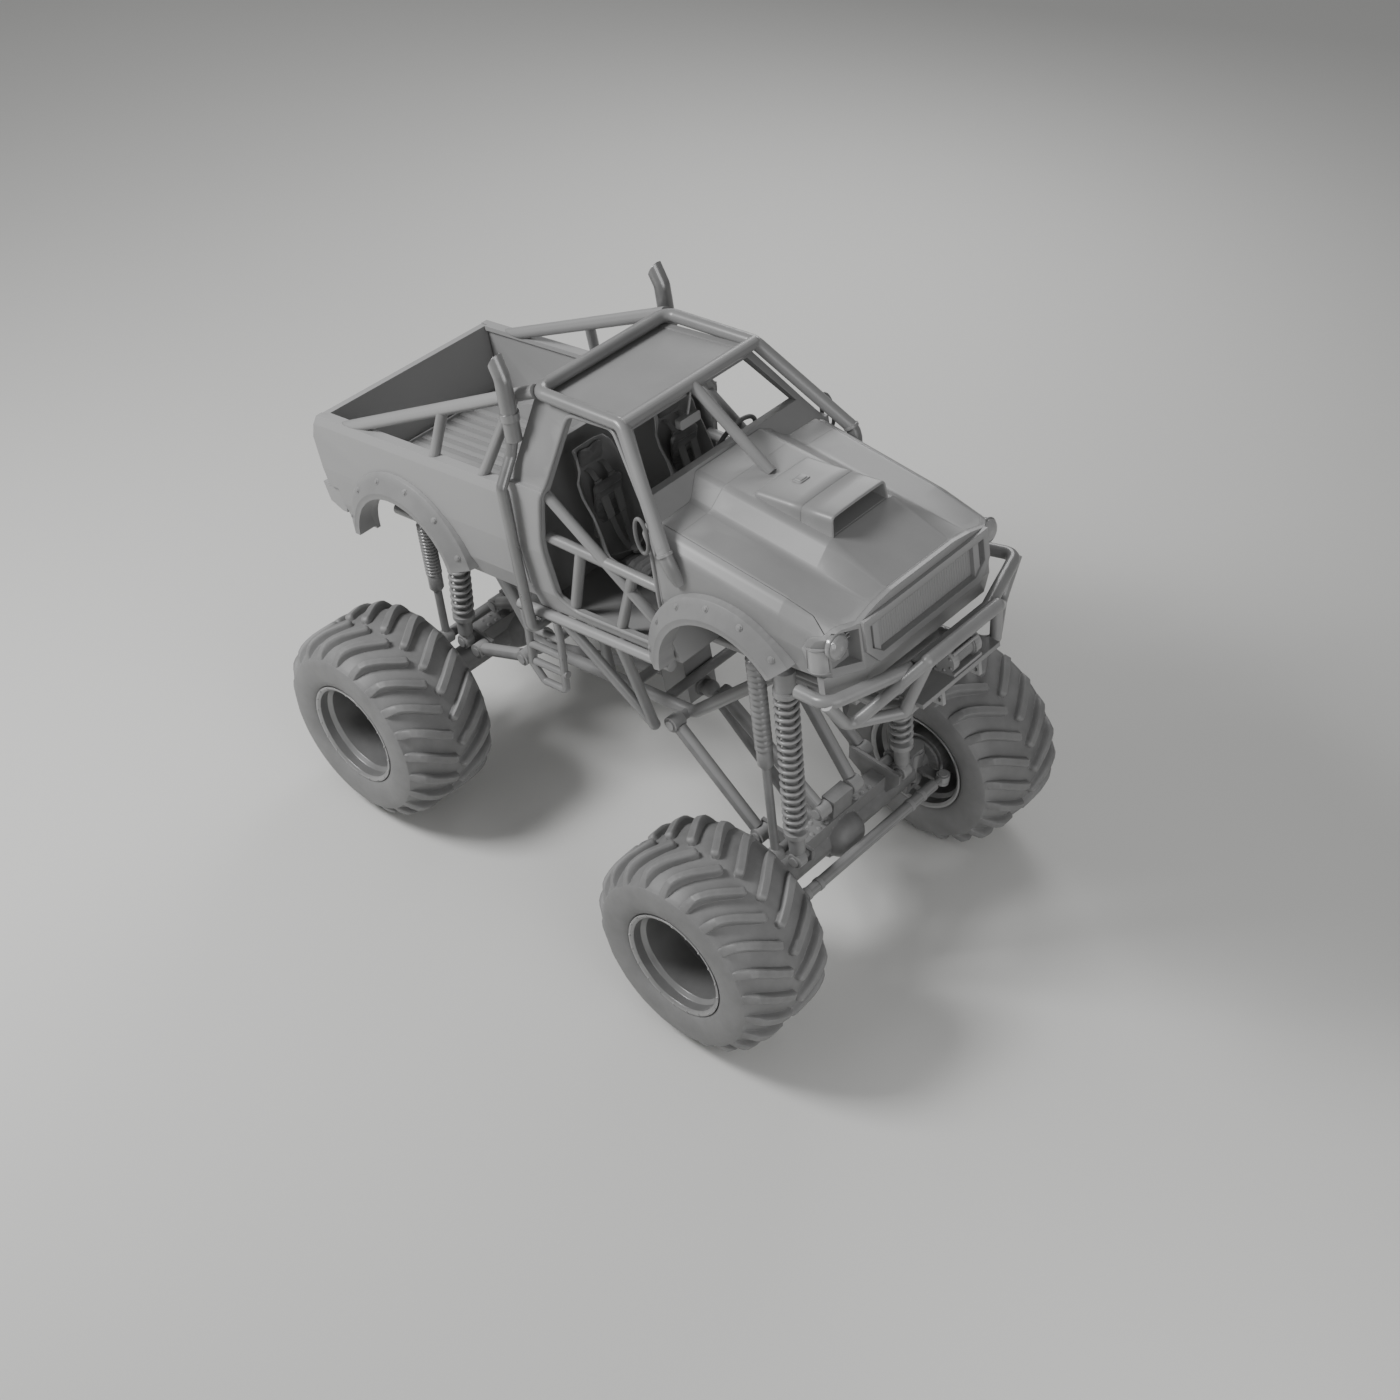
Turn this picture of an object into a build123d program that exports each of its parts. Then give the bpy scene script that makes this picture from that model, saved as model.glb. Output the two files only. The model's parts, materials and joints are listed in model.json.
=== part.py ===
# Monster truck: a pickup body on a tube frame, on four steered 66-inch wheels.
from build123d import *
import os
from math import cos, sin, radians

# Sizes in millimetres and degrees. The truck faces +X, its left side is +Y, the floor is Z = 0.
# Body sizes are measured from a datum on top of the frame rails, level with the body,
# and the body is then raked nose-up about that datum.

# stance
tyre_diameter = 1676
tyre_width = 887
wheelbase = 3484
track = 2786
datum_height = 2514
datum_behind_front_axle = 1406
rake = 11.4

# tubes of the frame and cage
frame_r = 50
brace_r = 42
cage_r = 50
door_bar_r = 42
step_r = 30
bumper_r = 48
bend = 150
cage_bend = 100

# fits
seat_gap = 0.3
panel_gap = 5
sheet = 30

# wheel and hub
rim_r = 416
rim_lip = 22
rim_wall = 16
rim_half = 415
lug_height = 55
lug_root = 20
lug_width = 72
lug_sweep = 15.7
lug_start = 18
lug_foot_r = 640
lugs_per_row = 22
hub_drum_r = 210
hub_drum_length = 330
spindle_r = 95
kingpin_inset = 433
kingpin_y = track / 2 - kingpin_inset
kingpin_r = 30
knuckle_r = 80
knuckle_half = 150
ear = 40
ear_r = 72
arm_length = 290
tie_rod_r = 46
tie_rod_rise = 42
ball_pin_r = 22
steer_eye_r = 55

# axle housing
axle_r = 115
pumpkin_r = 200
pinion_length = 330
truss_y = kingpin_y - 460
truss_plate = 30
pin_r = 22
collar_r = 40
eye_r = 64
eye_width = 90
cap_thick = 14
link_r = 52
link_eye = 2 * link_r + 6
upper_link_y = 186
upper_pin_rise = 350

# frame, from the datum
rail_y = truss_y - 70
rail_rear = -2998
rail_front = 2050
belly_z = -880
belly_rear = -1520
belly_front = 180
riser_front_top = 1300
riser_rear_top = -1950
sill_y = 880
sill_rear = -1020
sill_front = 560
sill_post = 39
sill_brace = -545
belly_post = -700
knee = (25, 700)
rail_z = -frame_r - seat_gap
sill_z = -brace_r - seat_gap

# cab, from the datum
cab_rear = -800
cab_front = 646
belt_z = 1090
wall = 40
roof_rear = -640
roof_border = 55
roof_half = 560
roof_sink = 7
cage_front = (265, 667, 1690)
cage_rear = (-585, 660, 1731)
cage_foot = (724, 932, 1104)
roof_z = cage_rear[2] - cage_r - 1

# front clip, from the datum
cowl_front = 790
nose_x = 2150
nose_ahead = 60
nose_depth = 45
nose_corner = [(2185, 655), (2060, 840), (1925, 900)]
clip_round = 110
front_arch = (1180, 16, 570)
scoop_rear = 1000
scoop_front = 1690
scoop_half = 321
scoop_top = 1193
bay_x = 2062
bay_y = 668
bay_low = 470
bay_high = 724
bay_wall = 30
lamp_y = 795
lamp_z = 630
lamp_r = 88
lamp_depth = 38
corner_lamp = (1955, 805, 430)
corner_lamp_r = 100
corner_lamp_height = 192
grille_half = [(655, 770), (655, 545), (540, 405)]
grille_border = 57

# load bed, from the datum
bed_front = -806
bed_rear = -3050
bed_half = 936
bed_wall_y = 850
bed_rail_z = 1026
bed_floor_z = 436
bed_rib = 50
bed_rib_pitch = 106
bed_rib_rise = 12
rear_arch = (-2150, 46, 535)
gate_hinge = (-3045, 480)
gate_r = 58
stack_slash = 55
flare_base = 880
flare_out = 105
bumper_tail = (-3225, 385)

# front bumper and its tow eyes
lower_bar_r = 42
tray_z = 15
tow_eye = (2388, -36)
tow_eye_r = 20
tow_eye_y = 200
tow_eye_half = 15

# suspension: springs stand on the truss pins and hang from towers on the rails
# columns: axle, upper x, upper z, lower reach beyond the axle, lower rise
pin_rise = 272
coil_y = truss_y + 115
bypass_y = coil_y + 75
coils = [("front", 1400, 160, 143), ("rear", -2017, 160, -75)]
bypasses = [("front", 1205, 230, -9), ("rear", -2290, 230, 78)]
link_y = truss_y + 92
link_reach = -230
link_rise = 255
upper_chassis_y = rail_y - 114
spring_r = 92
spring_wire_r = 17
spring_turns = 13

# transfer case and steering wheel, from the datum
case_half = 0.349 * rail_y
case_front = -166
case_rear = -434
wheel_hub = (250, 350, 1060)
wheel_lean = 65
steering_wheel_r = 205

c, s = cos(radians(rake)), sin(radians(rake))
axle_z = tyre_diameter / 2
bull_bar = (2472, 400)
nose_reach = c * bull_bar[0] - s * bull_bar[1] + bumper_r
tail_reach = c * bumper_tail[0] - s * bumper_tail[1]
datum_x = -(nose_reach + tail_reach) / 2
axle_x = {"front": datum_x + datum_behind_front_axle}
axle_x["rear"] = axle_x["front"] - wheelbase
outward = {"front": 1, "rear": -1}
raked = Pos(datum_x, 0, datum_height) * Rot(0, -rake, 0)


def to_body(x, y, z):
    dx = x - datum_x
    dz = z - datum_height
    return (c * dx + s * dz, y, -s * dx + c * dz)


def axle_pin(axle, reach, rise, y):
    return to_body(axle_x[axle] + outward[axle] * reach, y, axle_z + rise)


def rod(p, q, r):
    p = Vector(*p)
    q = Vector(*q)
    return Solid.make_cylinder(r, (q - p).length, Plane(origin=p, z_dir=q - p))


def ball(p, r):
    return Solid.make_sphere(r, Plane(origin=Vector(*p)))


def block(x0, x1, y0, y1, z0, z1):
    return Pos((x0 + x1) / 2, (y0 + y1) / 2, (z0 + z1) / 2) * Box(x1 - x0, y1 - y0, z1 - z0)


def bent(points, r, radius):
    path = FilletPolyline(*points, radius=radius)
    start = Plane(origin=path @ 0, z_dir=path % 0)
    return sweep(start * Circle(r), path=path)


def side_profile(points, y0, y1):
    face = make_face(Polyline(*[(x, 0, z) for x, z in points], close=True))
    return Pos(0, y0, 0) * extrude(face, amount=y1 - y0, dir=(0, 1, 0))


def front_profile(points, x0, x1):
    face = make_face(Polyline(*[(0, y, z) for y, z in points], close=True))
    return Pos(x0, 0, 0) * extrude(face, amount=x1 - x0, dir=(1, 0, 0))


def turned(points):
    face = make_face(Polyline(*[(r, 0, a) for r, a in points], close=True))
    return revolve(face, Axis.Z)


def weld(pieces):
    first, *rest = pieces
    return first.fuse(*rest) if rest else first


def mirrored(shape):
    return shape.mirror(Plane.XZ)


def pair(shape):
    return [shape, mirrored(shape)]


def other(p):
    return (p[0], -p[1], p[2])


def largest(shape):
    return sorted(shape.solids(), key=lambda solid: solid.volume)[-1]


def across(x, z, half, r):
    return rod((x, -half, z), (x, half, z), r)


# A stub pin stands out of its carrier: a collar, the pin through the eye, and an end cap.
def stub(x, z, y_from, y_eye, width):
    way = 1 if y_eye > y_from else -1
    near = y_eye - way * (width / 2 + seat_gap)
    far = y_eye + way * (width / 2 + seat_gap)
    return [
        rod((x, y_from, z), (x, near, z), collar_r),
        rod((x, near, z), (x, far, z), pin_r),
        rod((x, far, z), (x, far + way * cap_thick, z), collar_r),
    ]


def eye(p, width):
    x, y, z = p
    return rod((x, y - width / 2, z), (x, y + width / 2, z), eye_r)


def eye_bore(p, width):
    x, y, z = p
    return rod((x, y - width, z), (x, y + width, z), pin_r + seat_gap)


# Tyre and rim turn about their own Z, which is set along the axle with +Z outward.
# The carcass is a turned shell. Each lug is a swept bar cut out of a turned band that ends at the lug tips.
def lug():
    half = tyre_width / 2
    tip = tyre_diameter / 2
    base = tip - lug_height - lug_root
    tips = [(tip, lug_start), (tip, half - 220), (tip - 30, half - 100), (tip - 118, half - 25),
            (lug_foot_r, half - 8)]
    roots = [(lug_foot_r, half - 46), (base - 58, half - 114), (base - 28, half - 158),
             (base - 11, half - 224),
             (base, lug_start)]
    # columns: place along the lug, along the tread and across it
    line = [(0.5, 0), (0.3, 110), (0.02, 220), (-0.26, 320), (-0.46, 400), (-0.5, half)]
    reach = tip * radians(lug_sweep)
    edge = [(share * reach + lug_width / 2, across) for share, across in line]
    edge += [(share * reach - lug_width / 2, across) for share, across in reversed(line)]
    return turned(tips + roots) & front_profile(edge, lug_foot_r - 100, tip + 100)


def tyre():
    half = tyre_width / 2
    tread = tyre_diameter / 2 - lug_height
    bead = rim_r + seat_gap
    bead_out = rim_half - 17
    outside = [(bead, bead_out), (bead + rim_lip + 6, bead_out), (600, half), (680, half - 54),
               (tread - 61, half - 98),
               (tread - 33, half - 143), (tread - 13, half - 223)]
    inside = [(bead, bead_out - 60), (600, half - 40), (tread - 103, half - 120), (tread - 55, half - 240)]
    points = outside + [(tread, 0)] + [(r, -a) for r, a in reversed(outside)]
    hollow = inside + [(r, -a) for r, a in reversed(inside)]
    carcass = turned(points) - turned([(bead - 50, bead_out - 60)] + hollow + [(bead - 50, 60 - bead_out)])
    row = lug()
    far_row = row.mirror(Plane.XY)
    pitch = 360 / lugs_per_row
    bars = []
    for n in range(lugs_per_row):
        bars += [Rot(0, 0, n * pitch) * row, Rot(0, 0, (n + 0.5) * pitch) * far_row]
    return weld([carcass] + bars)


def rim():
    lip = rim_r + rim_lip
    seat = rim_half - 15
    shelf = seat - 70
    well = rim_r - 30
    drop = shelf - 30
    inner = well - rim_wall
    face = 25
    back = -20
    bore = spindle_r + seat_gap
    outer_side = [(well, drop), (rim_r, shelf), (rim_r, seat), (lip, seat), (lip, rim_half)]
    wall_r = rim_r - rim_wall
    inner_side = [(lip - rim_wall, rim_half), (wall_r, seat), (wall_r, shelf), (inner, drop)]
    hub = [(hub_drum_r, back), (hub_drum_r, -hub_drum_length), (bore, -hub_drum_length), (bore, back),
           (0, back)]
    cap = [(0, 110), (120, 95), (140, face), (inner, face)]
    under = [(r, -a) for r, a in reversed(inner_side)] + [(r, -a) for r, a in reversed(outer_side)]
    return turned(cap + list(reversed(inner_side)) + list(reversed(outer_side)) + list(reversed(under)) +
                  [(inner, back)] + hub)


# Axle with its truss, steering yokes and stub pins, about its own centre, +X away from the cab.
def axle(coil_reach, bypass_reach):
    yoke_in = kingpin_y - knuckle_r - 30
    top = knuckle_half + 2 + ear
    pieces = [rod((0, -yoke_in, 0), (0, yoke_in, 0), axle_r), ball((0, 0, 0), pumpkin_r)]
    pieces.append(rod((0, 0, 0), (-pinion_length, 0, 0), 95))
    pieces.append(rod((-pinion_length, 0, 0), (-pinion_length + 30, 0, 0), 120))
    pieces.append(block(-70, 70, -truss_y - truss_plate, truss_y + truss_plate, 60, 230))
    pieces.append(block(-60, 60, -110, 110, 200, upper_pin_rise + collar_r + 12))
    plate = [(-90, 80), (90, 80), (coil_reach_plate(coil_reach, bypass_reach), 230)]
    plate += [(plate[-1][0], pin_rise + 50), (link_reach - 60, pin_rise + 50), (link_reach - 60, 200)]
    for side in (-1, 1):
        y = side * truss_y
        pieces.append(side_profile(plate, min(y, y + side * truss_plate), max(y, y + side * truss_plate)))
        start = y + side * truss_plate
        pieces += stub(coil_reach, pin_rise, start, side * coil_y, eye_width)
        pieces += stub(bypass_reach, pin_rise, start, side * bypass_y, eye_width)
        pieces += stub(link_reach, link_rise, start, side * link_y, link_eye)
        pieces += stub(0, upper_pin_rise, side * 110, side * upper_link_y, link_eye)
        near, far = sorted((side * (yoke_in - 50), side * yoke_in))
        pieces.append(block(-75, 75, near, far, -top, top))
        near, far = sorted((side * (yoke_in - 50), side * kingpin_y))
        for low in (-top, top - ear):
            pieces.append(block(-65, 65, near, far, low, low + ear))
            pieces.append(rod((0, side * kingpin_y, low), (0, side * kingpin_y, low + ear), ear_r))
        pieces.append(rod((0, side * kingpin_y, -top), (0, side * kingpin_y, ear - knuckle_half), kingpin_r))
        pieces.append(rod((0, side * kingpin_y, knuckle_half - ear), (0, side * kingpin_y, top), kingpin_r))
    return weld(pieces)


def coil_reach_plate(coil_reach, bypass_reach):
    return max(coil_reach, bypass_reach) + 60


# Left knuckle about the axle's centre, its arm on the +X side.
def knuckle():
    y = kingpin_y
    hub_end = track / 2 - 20 - 5
    flange = track / 2 - hub_drum_length - 30
    arm_top = tie_rod_rise - steer_eye_r / 2 - seat_gap
    eye_top = tie_rod_rise + steer_eye_r / 2 + seat_gap
    body = weld([
        rod((0, y, -knuckle_half), (0, y, knuckle_half), knuckle_r),
        rod((0, y, 0), (0, hub_end, 0), spindle_r),
        rod((0, flange, 0), (0, flange + 22, 0), hub_drum_r - 30),
        block(0, arm_length, y - 40, y + 40, arm_top - 36, arm_top),
        rod((arm_length, y, arm_top - 36), (arm_length, y, arm_top), 50),
        rod((arm_length, y, arm_top - 36), (arm_length, y, eye_top), ball_pin_r),
        rod((arm_length, y, eye_top), (arm_length, y, eye_top + cap_thick), collar_r),
    ])
    socket = kingpin_r + seat_gap
    for low in (-knuckle_half, knuckle_half - ear - seat_gap):
        body = body - rod((0, y, low), (0, y, low + ear + seat_gap), socket)
    return body


def tie_rod():
    y = kingpin_y
    half = steer_eye_r / 2
    pieces = [rod((arm_length, -y, tie_rod_rise), (arm_length, y, tie_rod_rise), tie_rod_r / 2)]
    pieces.append(rod((arm_length, 120 - y, tie_rod_rise), (arm_length, y - 120, tie_rod_rise), tie_rod_r))
    for side in (-y, y):
        pieces.append(rod((arm_length, side, tie_rod_rise - half), (arm_length, side, tie_rod_rise + half),
                          steer_eye_r))
    bar = weld(pieces)
    for side in (-y, y):
        bar = bar - rod((arm_length, side, -200), (arm_length, side, 200), ball_pin_r + seat_gap)
    return bar


# Each damper runs from its upper eye to its lower eye.
def damper(top, foot, width, parts):
    t = Vector(*top)
    f = Vector(*foot)
    way = (f - t).normalized()
    pieces = [eye(top, width), eye(foot, width)]
    for start, end, r in parts:
        pieces.append(rod(tuple(t + way * start), tuple(f - way * end), r))
    shape = weld(pieces)
    return shape - eye_bore(top, width) - eye_bore(foot, width)


def coilover(top, foot):
    t = Vector(*top)
    f = Vector(*foot)
    way = (f - t).normalized()
    length = (f - t).length
    seat_a = 130
    seat_b = length * 0.36
    coil_length = length - seat_a - seat_b
    pitch = coil_length / spring_turns
    sleeves = [(20, 20, 36), (eye_r + 8, length - seat_a, 78), (length - seat_b, 120, 62)]
    body = damper(top, foot, eye_width, sleeves)
    ribs = []
    for turn in range(spring_turns):
        ribs += [(spring_r - spring_wire_r, (turn + 0.1) * pitch), (spring_r, (turn + 0.3) * pitch),
                 (spring_r, (turn + 0.7) * pitch), (spring_r - spring_wire_r, (turn + 0.9) * pitch)]
    sleeve = turned([(30, 0)] + [(spring_r - spring_wire_r, 0)] + ribs +
                    [(spring_r - spring_wire_r, coil_length), (30, coil_length)])
    set_down = Plane(origin=t + way * seat_a, z_dir=way).location
    return weld([body, set_down * sleeve])


def bypass_shock(top, foot):
    t = Vector(*top)
    f = Vector(*foot)
    length = (f - t).length
    return damper(top, foot, eye_width, [(20, 20, 36), (eye_r + 8, length * 0.42, 68)])


def link(p, q):
    way = (Vector(*q) - Vector(*p)).normalized()
    inset = way * (collar_r + 14)
    bar = rod(tuple(Vector(*p) + inset), tuple(Vector(*q) - inset), link_r)
    return weld([bar, eye(p, link_eye), eye(q, link_eye)]) - eye_bore(p, link_eye) - eye_bore(q, link_eye)


# Frame rails, belly and outriggers with the pins that carry springs and links.
def riser_point(top_x, foot_x, share):
    return (foot_x + (top_x - foot_x) * share, belly_z + (rail_z - belly_z) * share)


front_upper = riser_point(riser_front_top, belly_front, 0.214)
rear_upper = riser_point(riser_rear_top, belly_rear, 0.35)
front_lower = (140, belly_z)
rear_lower = (belly_rear + 20, belly_z)


def chassis_frame():
    half = [rod((rail_rear, rail_y, rail_z), (rail_front, rail_y, rail_z), frame_r)]
    for table, y in ((coils, coil_y), (bypasses, bypass_y)):
        for name, x, z, reach in table:
            half.append(rod((x, rail_y, rail_z), (x, rail_y, z), brace_r))
            half.append(ball((x, rail_y, z), brace_r + 4))
            half += stub(x, z, rail_y, y, eye_width)
    left = weld(half)
    return weld([left, mirrored(left)] + [across(x, rail_z, rail_y, brace_r) for x in (1900, -900, -2900)])


# The belly hangs under the rails on bent tubes and carries the links and the transfer case.
def belly_frame(rails):
    half = [bent([(riser_rear_top, rail_y, rail_z), (belly_rear, rail_y, belly_z),
                  (belly_front, rail_y, belly_z), (riser_front_top, rail_y, rail_z)], frame_r, bend)]
    half.append(rod((belly_post, rail_y, belly_z), (belly_post, rail_y, rail_z), brace_r))
    for x, z in (front_lower, rear_lower):
        half += stub(x, z, rail_y, link_y, link_eye)
    for x, z in (front_upper, rear_upper):
        half += stub(x, z, rail_y, upper_chassis_y, link_eye)
    left = weld(half)
    cross_x = (belly_rear + 60, case_rear - brace_r - seat_gap, case_front + brace_r + seat_gap)
    belly = weld([left, mirrored(left)] + [across(x, belly_z, rail_y, brace_r) for x in cross_x])
    return largest(belly - rails)


# Sill tubes outside the cab, held off the rails and braced down to the belly.
def sill_frames(rails, belly):
    tubes = [rod((sill_rear, sill_y, sill_z), (sill_front, sill_y, sill_z), brace_r)]
    for x in (-620, sill_post, 480):
        tubes.append(rod((x, rail_y, sill_z), (x, sill_y, sill_z), brace_r - 4))
    foot = (knee[0], knee[1], belly_z)
    tubes.append(rod((sill_post, sill_y, sill_z), foot, brace_r))
    tubes.append(rod((sill_brace, sill_y, sill_z), foot, brace_r))
    tubes.append(ball(foot, brace_r + 4))
    tubes.append(rod(foot, (knee[0], rail_y, belly_z), brace_r))
    return pair(largest(weld(tubes) - rails - belly))


# Side step ladder under the sill.
def side_step():
    top = -2 * brace_r - 2 * seat_gap
    front_x, rear_x = -640, -1000
    low = -735
    side = bent([(rear_x, sill_y, top), (rear_x, sill_y, -250), (rear_x - 40, sill_y, -600),
                 (rear_x + 60, sill_y, low), (front_x - 60, sill_y, low), (front_x, sill_y, -250),
                 (front_x, sill_y, top)], step_r, 40)
    rungs = [rod((rear_x, sill_y, z), (front_x, sill_y, z), step_r) for z in (-250, -410, -570)]
    return weld([side] + rungs)


# Rounded clip shape: half-outline (y, z) at a station from centre bulge to sill.
# columns: x, bulge height, edge height, droop of the shoulder, shoulder y, side y, lower y, bottom z
clip_table = [
    (540, 1245, 1140, 6, 925, 932, 885, 40),
    (1690, 1041, 895, 30, 900, 915, 890, 400),
    (nose_x, 830, 806, 70, 855, 885, 880, 400),
]


def clip_section(row, inset):
    x, bulge, edge, droop, shoulder, side, lower, bottom = row
    low = edge - droop
    top = [(330, bulge), (500, edge), (shoulder - 95, low)]
    flank = [(shoulder, low - 95), (side, (low + bottom) / 2), (lower, bottom)]
    half = [(y, z - inset) for y, z in top] + [(y - inset, z - inset / 2) for y, z in flank]
    if inset:
        half[-1] = (half[-1][0], bottom - 200)
    ring = [(x, y, z) for y, z in reversed(half)] + [(x, -y, z) for y, z in half]
    return make_face([FilletPolyline(*ring, radius=clip_round), Line(ring[-1], ring[0])])


def clip_solid(inset):
    return loft([clip_section(row, inset) for row in clip_table], ruled=True)


def prism(points):
    return extrude(make_face(Polyline(*points, close=True)), amount=1600)


# The hood's plan: its side seams flare outward behind the lamps.
def hood_plan(grow):
    half = [(500, 800), (1905, 780), (2065, 838), (nose_x + nose_ahead, 838)]
    return prism([(x, -y - grow) for x, y in half] + [(x, y + grow) for x, y in reversed(half)])


# The nose in plan: square across the grille, swept back past the lamps to the fenders.
def nose_plan(back):
    half = [(0, 1200), (nose_corner[2][0] - back, 1200)]
    half += [(x - back, y) for x, y in reversed(nose_corner)]
    return prism([(x, -y) for x, y in half] + [(x, y) for x, y in reversed(half)])


def front_clip():
    outer = clip_solid(0)
    shell = (outer - clip_solid(sheet)) & nose_plan(nose_depth)
    arch_x, arch_z, arch_r = front_arch
    shell = shell - across(arch_x, arch_z, 1200, arch_r)
    lower = block(500, cab_front + panel_gap, -1200, 1200, 0, 1400)
    hood = (shell & hood_plan(0)) & block(cowl_front + seat_gap, 3000, -900, 900, 600, 1400)
    fenders = shell - hood_plan(panel_gap) - lower
    for solid in pair(corner_lamp_barrel(seat_gap)):
        fenders = fenders - solid
    cowl = outer & hood_plan(0) & block(500, cowl_front, -900, 900, belt_z - 90, 1400)
    return outer, largest(hood), fenders.solids(), cowl


def roof_loft(inset, low):
    front_top = cage_front[0] - 1.1 * (cage_r + seat_gap) - inset
    half_top = cage_front[1] - cage_r - seat_gap - inset
    half_low = cage_foot[1] - 62 - inset
    base = [(cab_rear + inset, -half_low), (cab_front - inset, -half_low),
            (cab_front - inset, half_low), (cab_rear + inset, half_low)]
    top = [(roof_rear + inset, -half_top), (front_top, -half_top), (front_top, half_top),
           (roof_rear + inset, half_top)]
    lower = make_face(Polyline(*[(x, y, low) for x, y in base], close=True))
    upper = make_face(Polyline(*[(x, y, roof_z - inset) for x, y in top], close=True))
    return loft([lower, upper], ruled=True)


def cab_lower(inset):
    half = [(855, 0), (905, 190), (930, 560), (912, belt_z)]
    half = [(y - inset, z) for y, z in half]
    half[0] = (half[0][0], inset * 0.75)
    half[-1] = (half[-1][0], belt_z - inset)
    ring = half + [(-y, z) for y, z in reversed(half)]
    return front_profile(ring, cab_rear + inset, cab_front - inset)


def cab_outer():
    return weld([cab_lower(0), roof_loft(0, belt_z)])


def cab_shell():
    shell = cab_outer() - weld([cab_lower(wall), roof_loft(wall, belt_z - wall)])
    door = [(-380, 110), (-515, 200), (-540, 660), (-478, 954), (-430, 1130), (-300, roof_z - 80),
            (130, roof_z - 80), (560, 1130), (600, 900), (600, 110)]
    shell = shell - side_profile(door, -1200, 1200)
    screen = [(-740, 1260), (-575, roof_z - 70), (575, roof_z - 70), (740, 1260)]
    shell = shell - front_profile(screen, 200, 900)
    back = [(-650, 1200), (-530, roof_z - 100), (530, roof_z - 100), (650, 1200)]
    shell = shell - front_profile(back, -900, -560)
    front_edge = cage_front[0] - 2 * cage_r
    panel = block(roof_rear + roof_border, front_edge, -roof_half, roof_half, roof_z - roof_sink, roof_z + 1)
    return largest(shell - panel)


def corner_lamp_barrel(grow):
    x, y, z = corner_lamp
    return rod((x, y, z - grow), (x, y, z + corner_lamp_height + grow), corner_lamp_r + grow)


# Swept nose skin round the grille, with a walled bay for each lamp and three fins in the bay.
def nose_panel(clip):
    ahead = extrude(clip_section(clip_table[-1], 0), amount=nose_ahead, dir=(1, 0, 0))
    skin = (weld([clip, ahead]) & nose_plan(0)) - nose_plan(nose_depth)
    box = block(bay_x - bay_wall, nose_x, bay_y - bay_wall, 900, bay_low - bay_wall, bay_high + bay_wall)
    box = box & nose_plan(0) & clip_solid(sheet)
    bay = block(bay_x, nose_x + 100, bay_y, 1000, bay_low, bay_high)
    fins = [block(bay_x - 1, bay_x + 28, bay_y - 1, lamp_y - lamp_r - 6, z, z + 12) for z in (632, 662, 692)]
    lamp_bay = [weld([box - bay] + fins), bay, corner_lamp_barrel(seat_gap)]
    for wall_solid, hollow, barrel in (lamp_bay, [mirrored(solid) for solid in lamp_bay]):
        skin = weld([skin - hollow, wall_solid]) - barrel
    return largest(skin - front_profile(grille_ring(grille_border), nose_x - 100, nose_x + 100))


def grille_ring(inset):
    (side, top), (_, knee_z), (foot, low) = grille_half
    half = [(side - inset, top - inset), (side - inset, knee_z), (foot - 0.8 * inset, low + inset)]
    return [(-y, z) for y, z in half] + [(y, z) for y, z in reversed(half)]


# A frame standing proud of the nose, and a flat panel set back inside it with a post near each end.
def grille():
    face = nose_corner[0][0]
    frame = front_profile(grille_ring(0), face, face + 30)
    frame = frame - front_profile(grille_ring(grille_border), face - 1, face + 31)
    inside = grille_ring(grille_border + seat_gap)
    posts = weld(pair(block(face - 30, face + 12, 500, 560, 400, 800)))
    posts = posts & front_profile(inside, face - 40, face + 40)
    panel = front_profile(inside, face - nose_depth + 2, face - nose_depth + 20)
    return frame, weld([panel, posts])


# Round lamps stand on the back walls of their bays. Barrel lamps turn the corners to the fenders.
def headlamps():
    back, front = bay_x + seat_gap, bay_x + lamp_depth
    dome = [(0, 0), (1, 0), (1, 0.1), (0.9, 0.21), (0.7, 0.31), (0.4, 0.37), (0, 0.39)]
    lens = turned([(r * lamp_r, rise * lamp_r) for r, rise in dome])
    lamp = weld([rod((back, lamp_y, lamp_z), (front, lamp_y, lamp_z), lamp_r),
                 Pos(front, lamp_y, lamp_z) * Rot(0, 90, 0) * lens])
    return pair(lamp) + pair(corner_lamp_barrel(0))


def front_valance():
    top = clip_table[-1][-1]
    face = nose_corner[0][0]
    low = 224
    half = 880
    points = [(1960, top), (face, top), (face - 55, low), (1960, low)]
    plan = [(1960, half), (2015, half), (face, 560)]
    plan = [(x, -y) for x, y in plan] + [(x, y) for x, y in reversed(plan)]
    return side_profile(points, -half, half) & prism(plan)


def scoop_section(x, top, half_low, half_high):
    low = 400
    points = [(x, -half_low, low), (x, -half_high, top), (x, half_high, top), (x, half_low, low)]
    return make_face(Polyline(*points, close=True))


def hood_scoop():
    rear_top = 1190
    body = loft([scoop_section(scoop_rear, rear_top, scoop_half - 10, scoop_half - 40),
                 scoop_section(scoop_front, scoop_top, scoop_half, scoop_half - 40)], ruled=True)
    throat = scoop_section(scoop_rear + 260, rear_top - sheet, scoop_half - 50, scoop_half - 80)
    lip = scoop_section(scoop_front + 1, scoop_top - sheet, scoop_half - 30, scoop_half - 70)
    return body, loft([throat, lip], ruled=True)


def bed_section():
    half = [(870, 90), (915, 250), (bed_half, 560), (bed_half - 4, 960), (905, bed_rail_z),
            (820, bed_rail_z),
            (820, 985), (bed_wall_y, 970), (bed_wall_y, 300), (835, 90)]
    return front_profile(half, bed_rear - 120, bed_front)


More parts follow.
